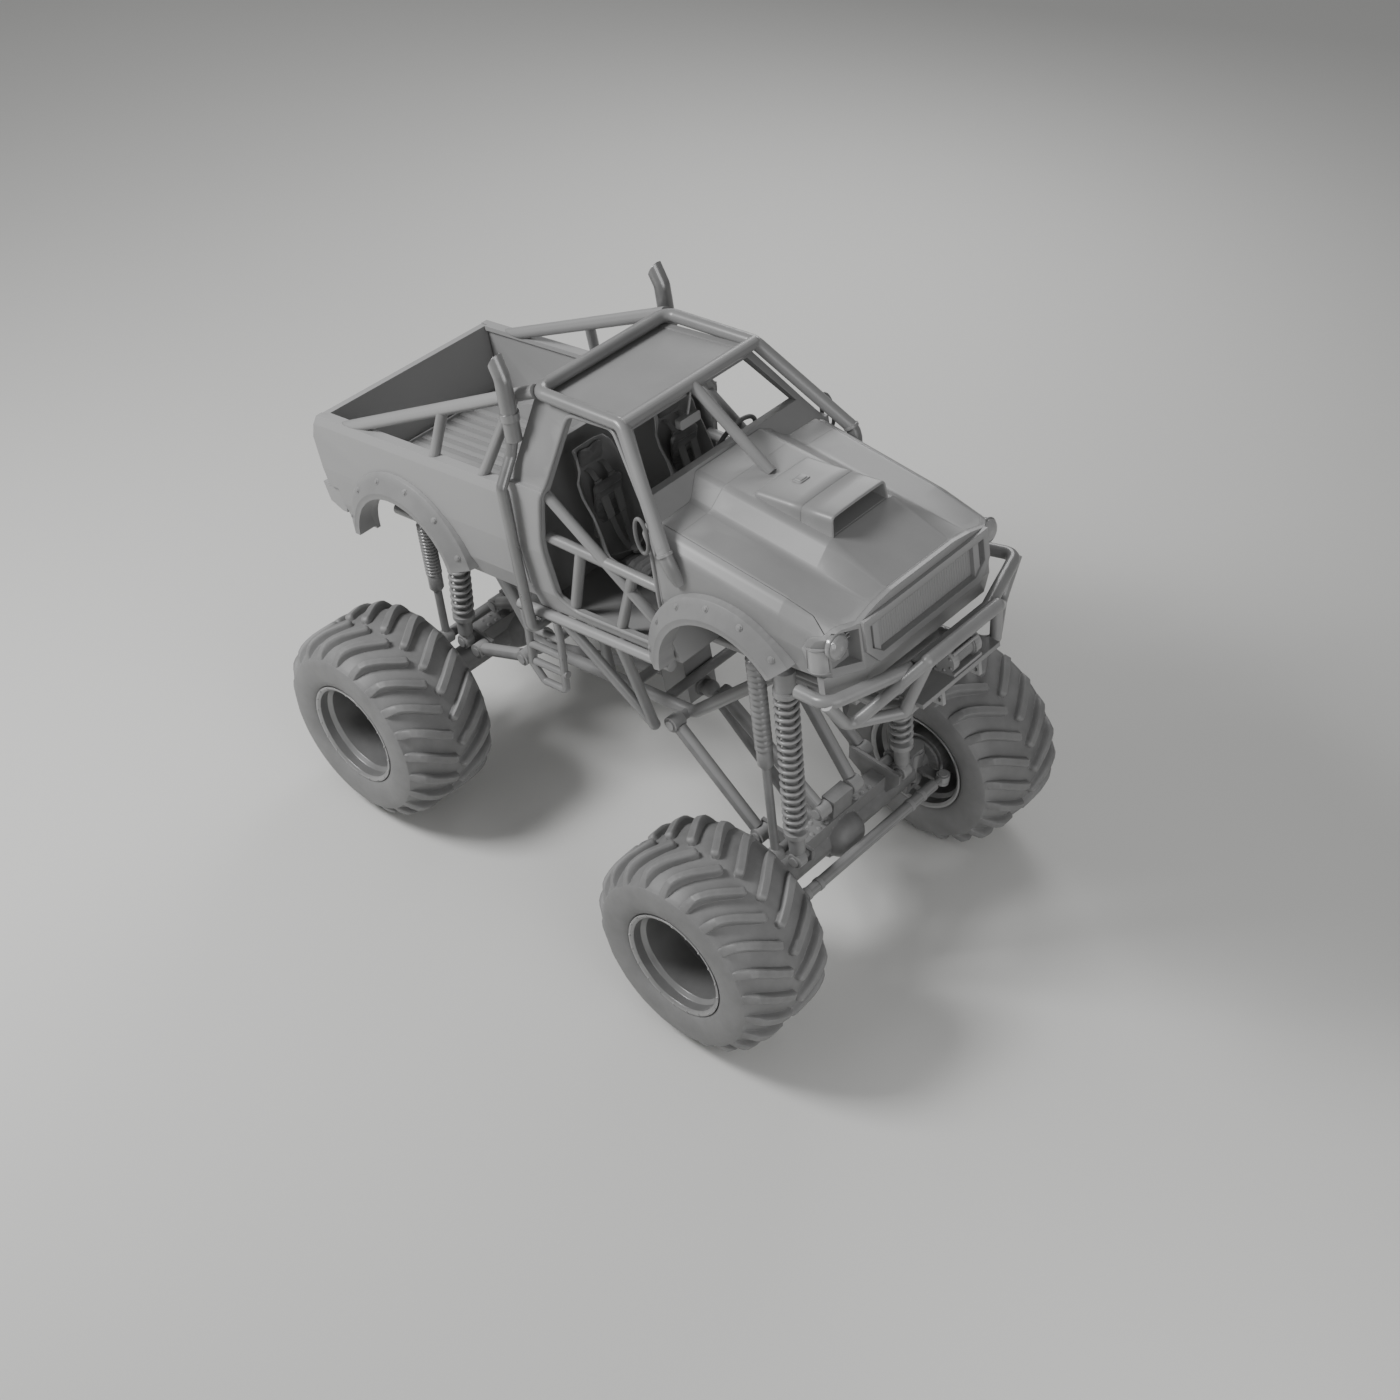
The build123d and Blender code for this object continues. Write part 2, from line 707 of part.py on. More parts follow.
def bed_sides():
    arch_x, arch_z, arch_r = rear_arch
    outline = [(bed_front, 70), (bed_front, 1100), (bed_rear, 1100), (bed_rear, bed_rail_z), (-3130, 834),
               (-3105, bumper_tail[1] + panel_gap), (rail_rear, bumper_tail[1] + panel_gap), (rail_rear, 70)]
    side = bed_section() & side_profile(outline, 0, 1200)
    side = side - rod((arch_x, 700, arch_z), (arch_x, 1200, arch_z), arch_r)
    hx, hz = gate_hinge
    side = side - block(-3300, hx + gate_r + 8, 0, bed_wall_y, 0, 1200)
    side = weld([largest(side), rod((hx, bed_wall_y - 38, hz), (hx, bed_wall_y + 20, hz), 14)])
    return pair(side)


def bed_floor():
    arch_x, arch_z, arch_r = rear_arch
    rear_edge = gate_hinge[0] + gate_r + 8
    half = bed_wall_y - seat_gap
    floor = [block(rear_edge, bed_front - 6, -half, half, bed_floor_z - 30, bed_floor_z)]
    floor.append(block(bed_front - 40, bed_front - 6, -half, half, bed_floor_z - 30, bed_rail_z - 60))
    for x in (-900, -2860):
        floor.append(block(x - 30, x + 30, -480, 480, 0, bed_floor_z - 30))
    for n in range(-5, 5):
        y = (n + 0.5) * bed_rib_pitch
        floor.append(block(rear_edge + 40, bed_front - 41, y - bed_rib / 2, y + bed_rib / 2, bed_floor_z - 1,
                           bed_floor_z + bed_rib_rise))
    plate = weld(floor)
    for side in (-1, 1):
        near, far = sorted((side * 560, side * half))
        tub = rod((arch_x, near, arch_z), (arch_x, far, arch_z), arch_r + 40)
        plate = weld([plate, tub & block(-4000, 0, -900, 900, bed_floor_z - 30, 900)])
    for side in (-1, 1):
        near, far = sorted((side * 580, side * 1200))
        plate = plate - rod((arch_x, near, arch_z), (arch_x, far, arch_z), arch_r + 20)
    return plate


def tailgate():
    hx, hz = gate_hinge
    half = bed_wall_y - panel_gap
    inner = hx + gate_r
    top = bed_rail_z - 6
    points = [(inner, hz), (inner, top), (bed_rear, top), (-3125, 834), (hx - gate_r, hz)]
    gate = weld([side_profile(points, -half, half), rod((hx, -half, hz), (hx, half, hz), gate_r)])
    for y in (-half, half):
        gate = gate - rod((hx, y - 45, hz), (hx, y + 45, hz), 14 + seat_gap)
    return gate


def rear_bumper():
    x, z = bumper_tail
    seat_x = rail_rear - seat_gap
    points = [(seat_x, z), (x, z), (x + 35, 220), (rail_rear - 60, 160), (seat_x, 160)]
    return side_profile(points, -900, 900)


# Flares stand out from the arches as turned bands that lie on the panel behind them.
def flare(arch, outer_r, start, end, panel):
    x, z, r = arch
    base = flare_base - bed_half
    points = [(r, base), (r, flare_out), (r + 50, flare_out + 5), (outer_r - 20, 30), (outer_r, base)]
    face = make_face(Polyline(*[(p, 0, a) for p, a in points], close=True))
    band = revolve(face, Axis.Z, revolution_arc=end - start)
    set_out = Pos(x, bed_half, z) * Rot(-90, 0, 0) * Rot(0, 0, -end)
    return largest(set_out * band - panel)


def fender_flares(clip):
    # columns: arch, outer radius, start and end angle from +X, panel
    table = [(front_arch, 760, 35, 178, weld([clip, cab_outer()])), (rear_arch, 735, 8, 172, bed_section())]
    bands = []
    for arch, outer_r, start, end, panel in table:
        bands += pair(flare(arch, outer_r, start, end, panel))
    return bands


def cage_main(clip):
    front, rear, foot = cage_front, cage_rear, cage_foot
    low = (foot[0] + 80, foot[1] + 40, foot[2] - 100)
    hoop = bent([low, front, rear, other(rear), other(front), other(low)], cage_r, cage_bend)
    header = rod(front, other(front), cage_r - 2)
    centre = rod((front[0], 0, front[2]), (925, 0, 1165), cage_r - 8)
    return weld([hoop, header, centre]) - clip


def cage_stays(main):
    rear = cage_rear
    end = (-2900, 878, bed_rail_z - 100)
    mid = tuple(Vector(*rear) + (Vector(*end) - Vector(*rear)) * 0.43)
    near = tuple(Vector(*rear) + (Vector(*end) - Vector(*rear)) * 0.093)
    tubes = [rod(rear, end, cage_r), rod(mid, (-1700, 866, bed_rail_z - 60), brace_r),
             rod(near, (-1160, 866, bed_rail_z - 60), brace_r)]
    clear = block(-4000, 0, 0, 1200, 0, bed_rail_z + seat_gap)
    return pair(largest(weld(tubes) - clear - main))


def door_bars(cab):
    y = 846
    # columns: rear x and z, front x and z
    table = [(-520, 1070, 600, 165), (-540, 664, 600, 588), (-223, 644, -411, 115), (291, 607, 71, 115)]
    bars = [rod((x0, y, z0), (x1, y, z1), door_bar_r) for x0, z0, x1, z1 in table]
    return pair(largest(weld(bars) - cab))


def exhaust_stack():
    pipe_r = 42
    low_z = -2 * brace_r - pipe_r - 14
    run = bent([(-800, rail_y + 90, low_z), (-800, 990, low_z), (-795, 990, 353), (-775, 990, 1075),
                (-765, 856, 1270), (-748, 808, 1420)], pipe_r, 60)
    upper = bent([(-748, 808, 1380), (-738, 800, 1860), (-803, 794, 2040)], 62, 120)
    collar = rod((-745, 805, 1540), (-743, 804, 1600), 72)
    saddle = block(-830, -770, sill_y - 30, sill_y + 30, low_z + pipe_r - 10, -2 * brace_r - 2 * seat_gap)
    tip = Vector(-803, 794, 2040)
    way = Vector(-65, -6, 180).normalized()
    bore = rod(tuple(tip - way * 150), tuple(tip + way * 20), 54)
    slash = Pos(*(tip - way * 62)) * Rot(0, -stack_slash, 0) * Pos(0, 0, 150) * Box(300, 300, 300)
    return weld([run, upper, collar, saddle]) - bore - slash


# Tube bumper: a main tube swept round the nose, a lower tube below it, and a hoop on two pairs of legs.
def front_bumper():
    r = bumper_r
    bar_x, bar_z = bull_bar
    hoop = (bar_x, 370, bar_z)
    corner = (2150, 1020, 330)
    inner = (2365, 400, 330)
    foot = (2330, 500, tray_z)
    main = bent([(1880, 990, 320), corner, inner], r, 120)
    lower = bent([corner, (2130, 850, 60), foot], lower_bar_r, 70)
    half = [main, lower, ball(inner, r + 1), ball(foot, lower_bar_r + 1), ball(hoop, r + 1)]
    half.append(rod(hoop, foot, lower_bar_r))
    half.append(rod(hoop, (2165, 790, 54), lower_bar_r))
    half.append(bent([(rail_front + seat_gap, rail_y, rail_z), (rail_front + 120, rail_y, rail_z),
                      (foot[0], rail_y, tray_z)], frame_r, 80))
    left = weld(half)
    tray = block(2230, 2430, -420, 420, tray_z + 10, tray_z + 45)
    crossbars = [across(bar_x, bar_z, hoop[1], r), across(inner[0], inner[2], inner[1], r),
                 across(foot[0], foot[2], foot[1], lower_bar_r)]
    bars = weld([left, mirrored(left), tray] + crossbars)
    for y in (-tow_eye_y, tow_eye_y):
        plate = block(tow_eye[0] - 48, tow_eye[0] + 37, y - tow_eye_half, y + tow_eye_half,
                      tow_eye[1] - 44, tray_z + 45)
        hole = rod((tow_eye[0], y - 40, tow_eye[1]), (tow_eye[0], y + 40, tow_eye[1]), tow_eye_r)
        bars = weld([bars, plate]) - hole
    return bars


def winch():
    z = tray_z + 45 + seat_gap
    x, y0, y1 = 2335, -70, 235
    axis = z + 100
    parts = [block(x - 85, x + 85, y0, y1, z, z + 24), rod((x, y0 + 40, axis), (x, y1 - 40, axis), 62)]
    parts.append(rod((x, y0, axis), (x, y0 + 60, axis), 92))
    parts.append(rod((x, y1 - 60, axis), (x, y1, axis), 92))
    return weld(parts)


def seat(y):
    floor = wall * 0.75 + seat_gap
    profile = [(-380, floor), (-400, 350), (-520, 1180), (-440, 1220), (-270, 420), (120, 380), (150, 250),
               (60, floor)]
    return side_profile(profile, y - 230, y + 230)


def dashboard():
    x1 = cab_front - wall - seat_gap
    top = belt_z - wall - seat_gap
    points = [(x1, 780), (x1 - 150, 820), (x1 - 190, 960), (x1 - 150, top), (x1, top)]
    return side_profile(points, -800, 800)


def steering_column():
    x, y, z = wheel_hub
    way = Vector(sin(radians(wheel_lean)), 0, -cos(radians(wheel_lean)))
    end = Vector(x, y, z) + way * 300
    return rod((x + way.X * 30, y, z + way.Z * 30), tuple(end), 28)


def steering_wheel():
    ring = Torus(steering_wheel_r, 17)
    spokes = [Rot(0, 0, a) * rod((0, 0, -10), (steering_wheel_r, 0, 0), 13) for a in (0, 120, 240)]
    hub = rod((0, 0, -29.7), (0, 0, 15), 50)
    lean = Pos(*wheel_hub) * Rot(0, -wheel_lean, 0)
    return lean * weld([ring, hub] + spokes)


def engine():
    feet = [block(x - 40, x + 40, -rail_y, rail_y, 0, 30) for x in (1050, 1580)]
    half = 0.744 * rail_y
    core = block(950, 1650, -half, half, -260, 420)
    pan = block(1000, 1600, -0.56 * half, 0.56 * half, -420, -250)
    intake = block(1080, 1520, -0.63 * half, 0.63 * half, 400, 640)
    gearbox = rod((960, 0, -170), (250, 0, -170), case_half)
    return weld([core, pan, intake, gearbox] + feet)


def transfer_case():
    return block(case_rear, case_front, -case_half, case_half, -1120, -40)


def shaft(p, q, p_way, q_way):
    p, q = Vector(*p), Vector(*q)
    a = p + Vector(*p_way) * 90
    b = q + Vector(*q_way) * 90
    pieces = [rod(tuple(p), tuple(a), 55), rod(tuple(q), tuple(b), 55)]
    pieces += [ball(tuple(a), 72), ball(tuple(b), 72)]
    pieces.append(rod(tuple(a), tuple(b), 46))
    pieces.append(rod(tuple(p), tuple(p + Vector(*p_way) * 22), 80))
    pieces.append(rod(tuple(q), tuple(q + Vector(*q_way) * 22), 80))
    return weld(pieces)


def drive_shafts():
    level = (c, 0, -s)
    back = (-c, 0, s)
    front_pinion = to_body(axle_x["front"] - pinion_length - seat_gap, 0, axle_z)
    rear_pinion = to_body(axle_x["rear"] + pinion_length + seat_gap, 0, axle_z)
    return [
        shaft((case_front + seat_gap, 0, -1030), front_pinion, (1, 0, 0), back),
        shaft((case_rear - seat_gap, 0, -1030), rear_pinion, (-1, 0, 0), level),
        rod((case_front + seat_gap, 0, -170), (250 - seat_gap, 0, -170), 50),
    ]


def suspension():
    springs, shocks, links = [], [], []
    for side in (-1, 1):
        for name, x, z, reach in coils:
            springs.append(coilover((x, side * coil_y, z), axle_pin(name, reach, pin_rise, side * coil_y)))
        for name, x, z, reach in bypasses:
            y = side * bypass_y
            shocks.append(bypass_shock((x, y, z), axle_pin(name, reach, pin_rise, y)))
        for name, low, high in (("front", front_lower, front_upper), ("rear", rear_lower, rear_upper)):
            y = side * link_y
            links.append(link((low[0], y, low[1]), axle_pin(name, link_reach, link_rise, y)))
            links.append(link((high[0], side * upper_chassis_y, high[1]),
                              axle_pin(name, 0, upper_pin_rise, side * upper_link_y)))
    return springs, shocks, links


def save(name, solids):
    export_step(Compound(children=list(solids)), os.path.join("parts", name + ".step"))


def save_body(name, solids):
    save(name, [raked * solid for shape in solids for solid in shape.solids()])


def main():
    os.makedirs("parts", exist_ok=True)
    clip, hood, fenders, cowl = front_clip()
    cab = cab_shell()
    cage = cage_main(clip)
    springs, shocks, links = suspension()
    scoop, mouth = hood_scoop()
    stations = {"cab_shell": [cab], "cowl_panel": [cowl - cab_outer()], "hood": [hood],
                "hood_scoop": [largest(scoop - mouth - clip)], "front_fenders": fenders}
    stations["nose_panel"] = [nose_panel(clip)]
    stations["grille"] = list(grille())
    stations["headlamps"] = headlamps()
    stations["front_valance"] = [front_valance()]
    stations["bed_sides"] = bed_sides()
    stations["bed_floor"] = [bed_floor()]
    stations["tailgate"] = [tailgate()]
    stations["rear_bumper"] = [rear_bumper()]
    stations["fender_flares"] = fender_flares(clip)
    stations["roll_cage"] = [largest(cage)]
    stations["cage_stays"] = cage_stays(cage)
    stations["door_bars"] = door_bars(cab)
    stations["side_steps"] = pair(side_step())
    stations["exhaust_stacks"] = pair(exhaust_stack())
    rails = chassis_frame()
    belly = belly_frame(rails)
    stations["chassis_frame"] = [rails]
    stations["belly_frame"] = [belly]
    stations["sill_frames"] = sill_frames(rails, belly)
    stations["front_bumper"] = [front_bumper()]
    stations["winch"] = [winch()]
    stations["seats"] = [seat(-400), seat(400)]
    stations["dashboard"] = [dashboard()]
    stations["steering_column"] = [largest(steering_column() - dashboard())]
    stations["steering_wheel"] = [steering_wheel()]
    stations["engine"] = [engine()]
    stations["transfer_case"] = [transfer_case()]
    stations["drive_shafts"] = drive_shafts()
    stations["coilovers"] = springs
    stations["bypass_shocks"] = shocks
    stations["suspension_links"] = links
    for name, solids in stations.items():
        save_body(name, solids)
    one_tyre = tyre()
    one_rim = rim()
    steer = knuckle()
    for name, coil, bypass in (("front", coils[0], bypasses[0]), ("rear", coils[1], bypasses[1])):
        turn = Rot(0, 0, 0 if name == "front" else 180)
        centre = Pos(axle_x[name], 0, axle_z) * turn
        save(name + "_axle", [centre * axle(coil[3], bypass[3])])
        save(name + "_tie_rod", [centre * tie_rod()])
        for side, way in (("left", 1), ("right", -1)):
            hand = steer if way * outward[name] > 0 else mirrored(steer)
            hub = Pos(axle_x[name], way * track / 2, axle_z) * Rot(-90 * way, 0, 0)
            save(f"{name}_{side}_knuckle", [centre * hand])
            save(f"{name}_{side}_tyre", [hub * (one_tyre if way > 0 else mirrored(one_tyre))])
            save(f"{name}_{side}_rim", [hub * one_rim])


main()
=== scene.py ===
import bpy, bmesh, json
from math import sin, cos, pi, radians, sqrt
from mathutils import Vector, Matrix
from mathutils.bvhtree import BVHTree


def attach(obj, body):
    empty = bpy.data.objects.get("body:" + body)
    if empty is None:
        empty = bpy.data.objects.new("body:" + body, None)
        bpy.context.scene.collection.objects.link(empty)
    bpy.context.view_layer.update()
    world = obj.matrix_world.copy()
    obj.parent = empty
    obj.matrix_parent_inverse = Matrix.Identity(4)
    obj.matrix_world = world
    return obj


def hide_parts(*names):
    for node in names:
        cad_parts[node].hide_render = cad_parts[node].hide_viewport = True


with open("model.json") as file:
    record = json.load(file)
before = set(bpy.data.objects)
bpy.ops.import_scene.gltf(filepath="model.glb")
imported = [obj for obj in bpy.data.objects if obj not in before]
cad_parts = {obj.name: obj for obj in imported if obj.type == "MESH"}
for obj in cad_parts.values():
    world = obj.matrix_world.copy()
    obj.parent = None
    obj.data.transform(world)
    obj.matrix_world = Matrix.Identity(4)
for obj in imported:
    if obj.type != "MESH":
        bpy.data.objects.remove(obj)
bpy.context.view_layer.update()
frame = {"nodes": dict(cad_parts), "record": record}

stance = {"rake": 11.4, "datumX": 422.653, "datumZ": 2514.0, "axleZ": 838.0, "wheelbase": 3484.0,
          "frontAhead": 1406.0, "trackHalf": 1393.0}  # mm and degrees, as in the solids
rakeCos, rakeSin = cos(radians(stance["rake"])), sin(radians(stance["rake"]))
axleX = {"front": stance["datumX"] + stance["frontAhead"]}
axleX["rear"] = axleX["front"] - stance["wheelbase"]
outward = {"front": 1, "rear": -1}
wheels = [(f"{axle}_{side}", way, Vector((axleX[axle], way * stance["trackHalf"], stance["axleZ"])) / 1000)
          for axle in ("front", "rear") for side, way in (("left", 1), ("right", -1))]  # name, outward way, centre


def atBody(x, y, z):  # mm in the raked body to metres in the part
    ahead = stance["datumX"] + rakeCos * x - rakeSin * z
    rise = stance["datumZ"] + rakeSin * x + rakeCos * z
    return Vector((ahead, y, rise)) / 1000


def bodyWay(x, y, z):  # a direction in the raked body
    return Vector((rakeCos * x - rakeSin * z, y, rakeSin * x + rakeCos * z)).normalized()


def atAxle(axle, ahead, y, rise):  # mm outward from an axle's middle to metres in the part
    return Vector((axleX[axle] + outward[axle] * ahead, y, stance["axleZ"] + rise)) / 1000


# materials
def hexLinear(code):  # sRGB hex to a linear colour
    parts = [int(code[i:i + 2], 16) / 255 for i in (1, 3, 5)]
    return tuple(p / 12.92 if p <= 0.04045 else ((p + 0.055) / 1.055) ** 2.4 for p in parts) + (1.0,)


def addNode(tree, kind, settings=None, links=None):
    node = tree.nodes.new(kind)
    for key, value in (settings or {}).items():
        if key in node.inputs:
            node.inputs[key].default_value = value
        else:
            setattr(node, key, value)
    for key, source in (links or {}).items():
        tree.links.new(source, node.inputs[key])
    return node


def perMetre(millimetres):  # noise and wave scale that repeats at a real size
    return 1000.0 / millimetres


finishes = {}


def startFinish(name, shader):
    finish = bpy.data.materials.new(name)
    finish.use_nodes = True
    tree = finish.node_tree
    tree.nodes.clear()
    finishes[name] = finish
    space = addNode(tree, "ShaderNodeTexCoord")
    body = addNode(tree, "ShaderNodeBsdfPrincipled", shader)
    addNode(tree, "ShaderNodeOutputMaterial", None, {"Surface": body.outputs["BSDF"]})
    return tree, space.outputs["Object"], body


def greyDrift(tree, space, body, dark, light, size, rough):  # slow drift of tone and gloss over a surface
    noise = addNode(tree, "ShaderNodeTexNoise", {"Scale": perMetre(size), "Detail": 6.0, "Roughness": 0.6},
                    {"Vector": space})
    tone = addNode(tree, "ShaderNodeValToRGB", None, {"Fac": noise.outputs["Fac"]})
    tone.color_ramp.elements[0].position, tone.color_ramp.elements[1].position = 0.3, 0.72
    tone.color_ramp.elements[0].color, tone.color_ramp.elements[1].color = hexLinear(dark), hexLinear(light)
    gloss = addNode(tree, "ShaderNodeMapRange", {"To Min": rough[0], "To Max": rough[1]},
                    {"Value": noise.outputs["Fac"]})
    tree.links.new(gloss.outputs["Result"], body.inputs["Roughness"])
    return tone


def edgeWear(tree, tone, body, worn):  # rubbed edges show a touch lighter
    shape = addNode(tree, "ShaderNodeNewGeometry")
    edge = addNode(tree, "ShaderNodeMapRange", {"From Min": 0.53, "From Max": 0.62},
                   {"Value": shape.outputs["Pointiness"]})
    mix = addNode(tree, "ShaderNodeMix", {"data_type": "RGBA"},
                  {0: edge.outputs["Result"], 6: tone.outputs["Color"]})  # 0 is the factor, 6 and 7 the colours
    mix.inputs[7].default_value = hexLinear(worn)
    tree.links.new(mix.outputs[2], body.inputs["Base Color"])


def bumpFrom(tree, height, body, strength, depth, corner=7):  # small relief over corners rounded by some mm
    rounded = addNode(tree, "ShaderNodeBevel", {"samples": 4, "Radius": corner / 1000})
    bump = addNode(tree, "ShaderNodeBump", {"Strength": strength, "Distance": depth / 1000},
                   {"Height": height, "Normal": rounded.outputs["Normal"]})
    tree.links.new(bump.outputs["Normal"], body.inputs["Normal"])


def fineGrain(tree, space, size, detail):  # even noise that repeats at a size in mm
    return addNode(tree, "ShaderNodeTexNoise", {"Scale": perMetre(size), "Detail": detail}, {"Vector": space})


# satin enamel sprayed on pressed steel: soft broad highlights, the faintest orange peel, dust in the tone
tree, space, body = startFinish("satinEnamelPanel", {"IOR": 1.5, "Coat Weight": 0.12, "Coat Roughness": 0.25})
edgeWear(tree, greyDrift(tree, space, body, "#828282", "#8d8d8d", 700, (0.36, 0.5)), body, "#9c9c9c")
peel = fineGrain(tree, space, 9, 2.0)  # peel is 1-2 mm, drawn coarser
bumpFrom(tree, peel.outputs["Fac"], body, 0.05, 1.0)

# powder coat baked on bent tube: even, slightly glossier, pebbled
tree, space, body = startFinish("powderCoatTube", {"IOR": 1.5, "Coat Weight": 0.2, "Coat Roughness": 0.18})
edgeWear(tree, greyDrift(tree, space, body, "#7d7d7d", "#898989", 500, (0.3, 0.42)), body, "#999999")
peel = fineGrain(tree, space, 7, 2.0)  # pebble is 1 mm, drawn coarser
bumpFrom(tree, peel.outputs["Fac"], body, 0.06, 1.0)

# painted sand-cast iron: sandy skin, oily patches
tree, space, body = startFinish("sandCastIron", {"IOR": 1.5})
edgeWear(tree, greyDrift(tree, space, body, "#707070", "#858585", 220, (0.38, 0.62)), body, "#969696")
sand = fineGrain(tree, space, 8, 5.0)  # sand grit is 0.5 mm, drawn coarser
bumpFrom(tree, sand.outputs["Fac"], body, 0.25, 2.0)

# moulded tyre rubber: matt, dusty hollows, fine mould grain
tree, space, body = startFinish("mouldedTyreRubber", {"IOR": 1.52, "Specular IOR Level": 0.45})
edgeWear(tree, greyDrift(tree, space, body, "#747474", "#868686", 260, (0.42, 0.6)), body, "#8f8f8f")
grain = fineGrain(tree, space, 14, 4.0)  # grain is under 1 mm, drawn coarser
bumpFrom(tree, grain.outputs["Fac"], body, 0.12, 2.0)

# cast aluminium wheel, turned and lacquered: soft metal grey, faintly grainy
tree, space, body = startFinish("turnedAlloy", {"Metallic": 0.55})
edgeWear(tree, greyDrift(tree, space, body, "#8c8c8c", "#9a9a9a", 300, (0.3, 0.42)), body, "#aaaaaa")
grain = fineGrain(tree, space, 10, 3.0)
bumpFrom(tree, grain.outputs["Fac"], body, 0.05, 1.0)

# vacuum-formed ABS flare: pebbled, a little duller than the paint
tree, space, body = startFinish("formedAbs", {"IOR": 1.53})
edgeWear(tree, greyDrift(tree, space, body, "#7b7b7b", "#888888", 400, (0.4, 0.52)), body, "#939393")
pebble = addNode(tree, "ShaderNodeTexVoronoi", {"Scale": perMetre(6)}, {"Vector": space})  # 1.5 mm, drawn coarser
bumpFrom(tree, pebble.outputs["Distance"], body, 0.06, 1.0)

# moulded polycarbonate lens: glossy skin over fluted optics
tree, space, body = startFinish("flutedPolycarbonate", {"IOR": 1.585, "Coat Weight": 0.6, "Coat Roughness": 0.05})
edgeWear(tree, greyDrift(tree, space, body, "#8a8a8a", "#959595", 120, (0.16, 0.24)), body, "#a0a0a0")
flute = addNode(tree, "ShaderNodeTexWave", {"Scale": perMetre(60), "bands_direction": "Y"}, {"Vector": space})
bumpFrom(tree, flute.outputs["Fac"], body, 0.1, 2.0)

# polished exhaust steel: long soft highlights, heat-dulled
tree, space, body = startFinish("polishedExhaustSteel", {"Metallic": 0.5})
edgeWear(tree, greyDrift(tree, space, body, "#868686", "#949494", 350, (0.22, 0.36)), body, "#a5a5a5")
scratch = fineGrain(tree, space, 12, 3.0)
bumpFrom(tree, scratch.outputs["Fac"], body, 0.03, 1.0)

# enamelled spring steel and damper bodies: smooth and fairly glossy
tree, space, body = startFinish("enamelledSpringSteel", {"IOR": 1.5, "Coat Weight": 0.25, "Coat Roughness": 0.15})
edgeWear(tree, greyDrift(tree, space, body, "#7e7e7e", "#8b8b8b", 200, (0.3, 0.4)), body, "#9b9b9b")
scratch = fineGrain(tree, space, 10, 3.0)
bumpFrom(tree, scratch.outputs["Fac"], body, 0.05, 1.0)

# woven seat cloth: dull, crossed threads drawn coarser than their 1 mm, soft edge sheen
tree, space, body = startFinish("wovenSeatCloth", {"IOR": 1.45, "Sheen Weight": 0.3, "Sheen Roughness": 0.5})
edgeWear(tree, greyDrift(tree, space, body, "#5f5f5f", "#747474", 180, (0.75, 0.9)), body, "#7e7e7e")
warp = addNode(tree, "ShaderNodeTexWave", {"Scale": perMetre(36), "bands_direction": "X"}, {"Vector": space})
weft = addNode(tree, "ShaderNodeTexWave", {"Scale": perMetre(36), "bands_direction": "Z"}, {"Vector": space})
cross = addNode(tree, "ShaderNodeMath", {"operation": "MAXIMUM"}, {0: warp.outputs["Fac"], 1: weft.outputs["Fac"]})
bumpFrom(tree, cross.outputs["Value"], body, 0.3, 1.0)

# moulded grip rubber and foam sleeves: matt with a soft skin
tree, space, body = startFinish("mouldedGripRubber", {"IOR": 1.52})
edgeWear(tree, greyDrift(tree, space, body, "#636363", "#757575", 150, (0.5, 0.62)), body, "#808080")
grain = fineGrain(tree, space, 8, 3.0)
bumpFrom(tree, grain.outputs["Fac"], body, 0.15, 1.0)

finishOfSlot = {"body_shell": "satinEnamelPanel", "frame_tube": "powderCoatTube", "running_gear": "sandCastIron",
                "flare_plastic": "formedAbs", "lamp_lens": "flutedPolycarbonate",
                "exhaust_pipe": "polishedExhaustSteel", "spring_steel": "enamelledSpringSteel",
                "seat_cloth": "wovenSeatCloth", "grip_rubber": "mouldedGripRubber",
                "tyre_rubber": "mouldedTyreRubber", "rim_alloy": "turnedAlloy"}
slotOfNode = {row["node"]: row["material_slot"] for row in frame["record"]["subparts"]}
for nodeName, nodeObject in frame["nodes"].items():
    nodeObject.data.materials.clear()
    nodeObject.data.materials.append(finishes[finishOfSlot[slotOfNode[nodeName]]])
print("finishes", len(finishes), "solids", len(frame["nodes"]))


# mesh makers: each adds to a bmesh, and finishPiece turns it into a piece that rides a body
def placed(start, end):  # Z along start to end
    way = end - start
    return Matrix.Translation(start) @ way.to_track_quat("Z", "Y").to_matrix().to_4x4()


def circle(radius, count):  # points of a circle about Z
    return [(radius * cos(2 * pi * k / count), radius * sin(2 * pi * k / count)) for k in range(count)]


def addLathe(bm, points, place, sides=48):  # points are (distance along Z, radius) in metres
    rings = []
    for along, radius in points:
        rings.append([bm.verts.new(place @ Vector((x, y, along))) for x, y in circle(radius, sides)])
    for low, high in zip(rings, rings[1:]):
        for k in range(sides):
            bm.faces.new((low[k], low[(k + 1) % sides], high[(k + 1) % sides], high[k]))
    bm.faces.new(list(reversed(rings[0])))
    bm.faces.new(rings[-1])


def addTube(bm, path, radius, sides=20, closed=False):  # round bar along a list of points, carried without twist
    path = [Vector(p) for p in path]
    count = len(path)
    rings, side = [], None
    for i, point in enumerate(path):
        ahead = path[(i + 1) % count] if closed else path[min(i + 1, count - 1)]
        behind = path[i - 1] if closed else path[max(i - 1, 0)]
        way = (ahead - behind).normalized()
        side = side or way.orthogonal().normalized()
        side = (side - way * side.dot(way)).normalized()
        up = way.cross(side)
        size = radius[i] if isinstance(radius, list) else radius
        rings.append([bm.verts.new(point + side * x + up * y) for x, y in circle(size, sides)])
    for low, high in zip(rings, rings[1:] + (rings[:1] if closed else [])):
        for k in range(sides):
            bm.faces.new((low[k], low[(k + 1) % sides], high[(k + 1) % sides], high[k]))
    if not closed:
        bm.faces.new(list(reversed(rings[0])))
        bm.faces.new(rings[-1])


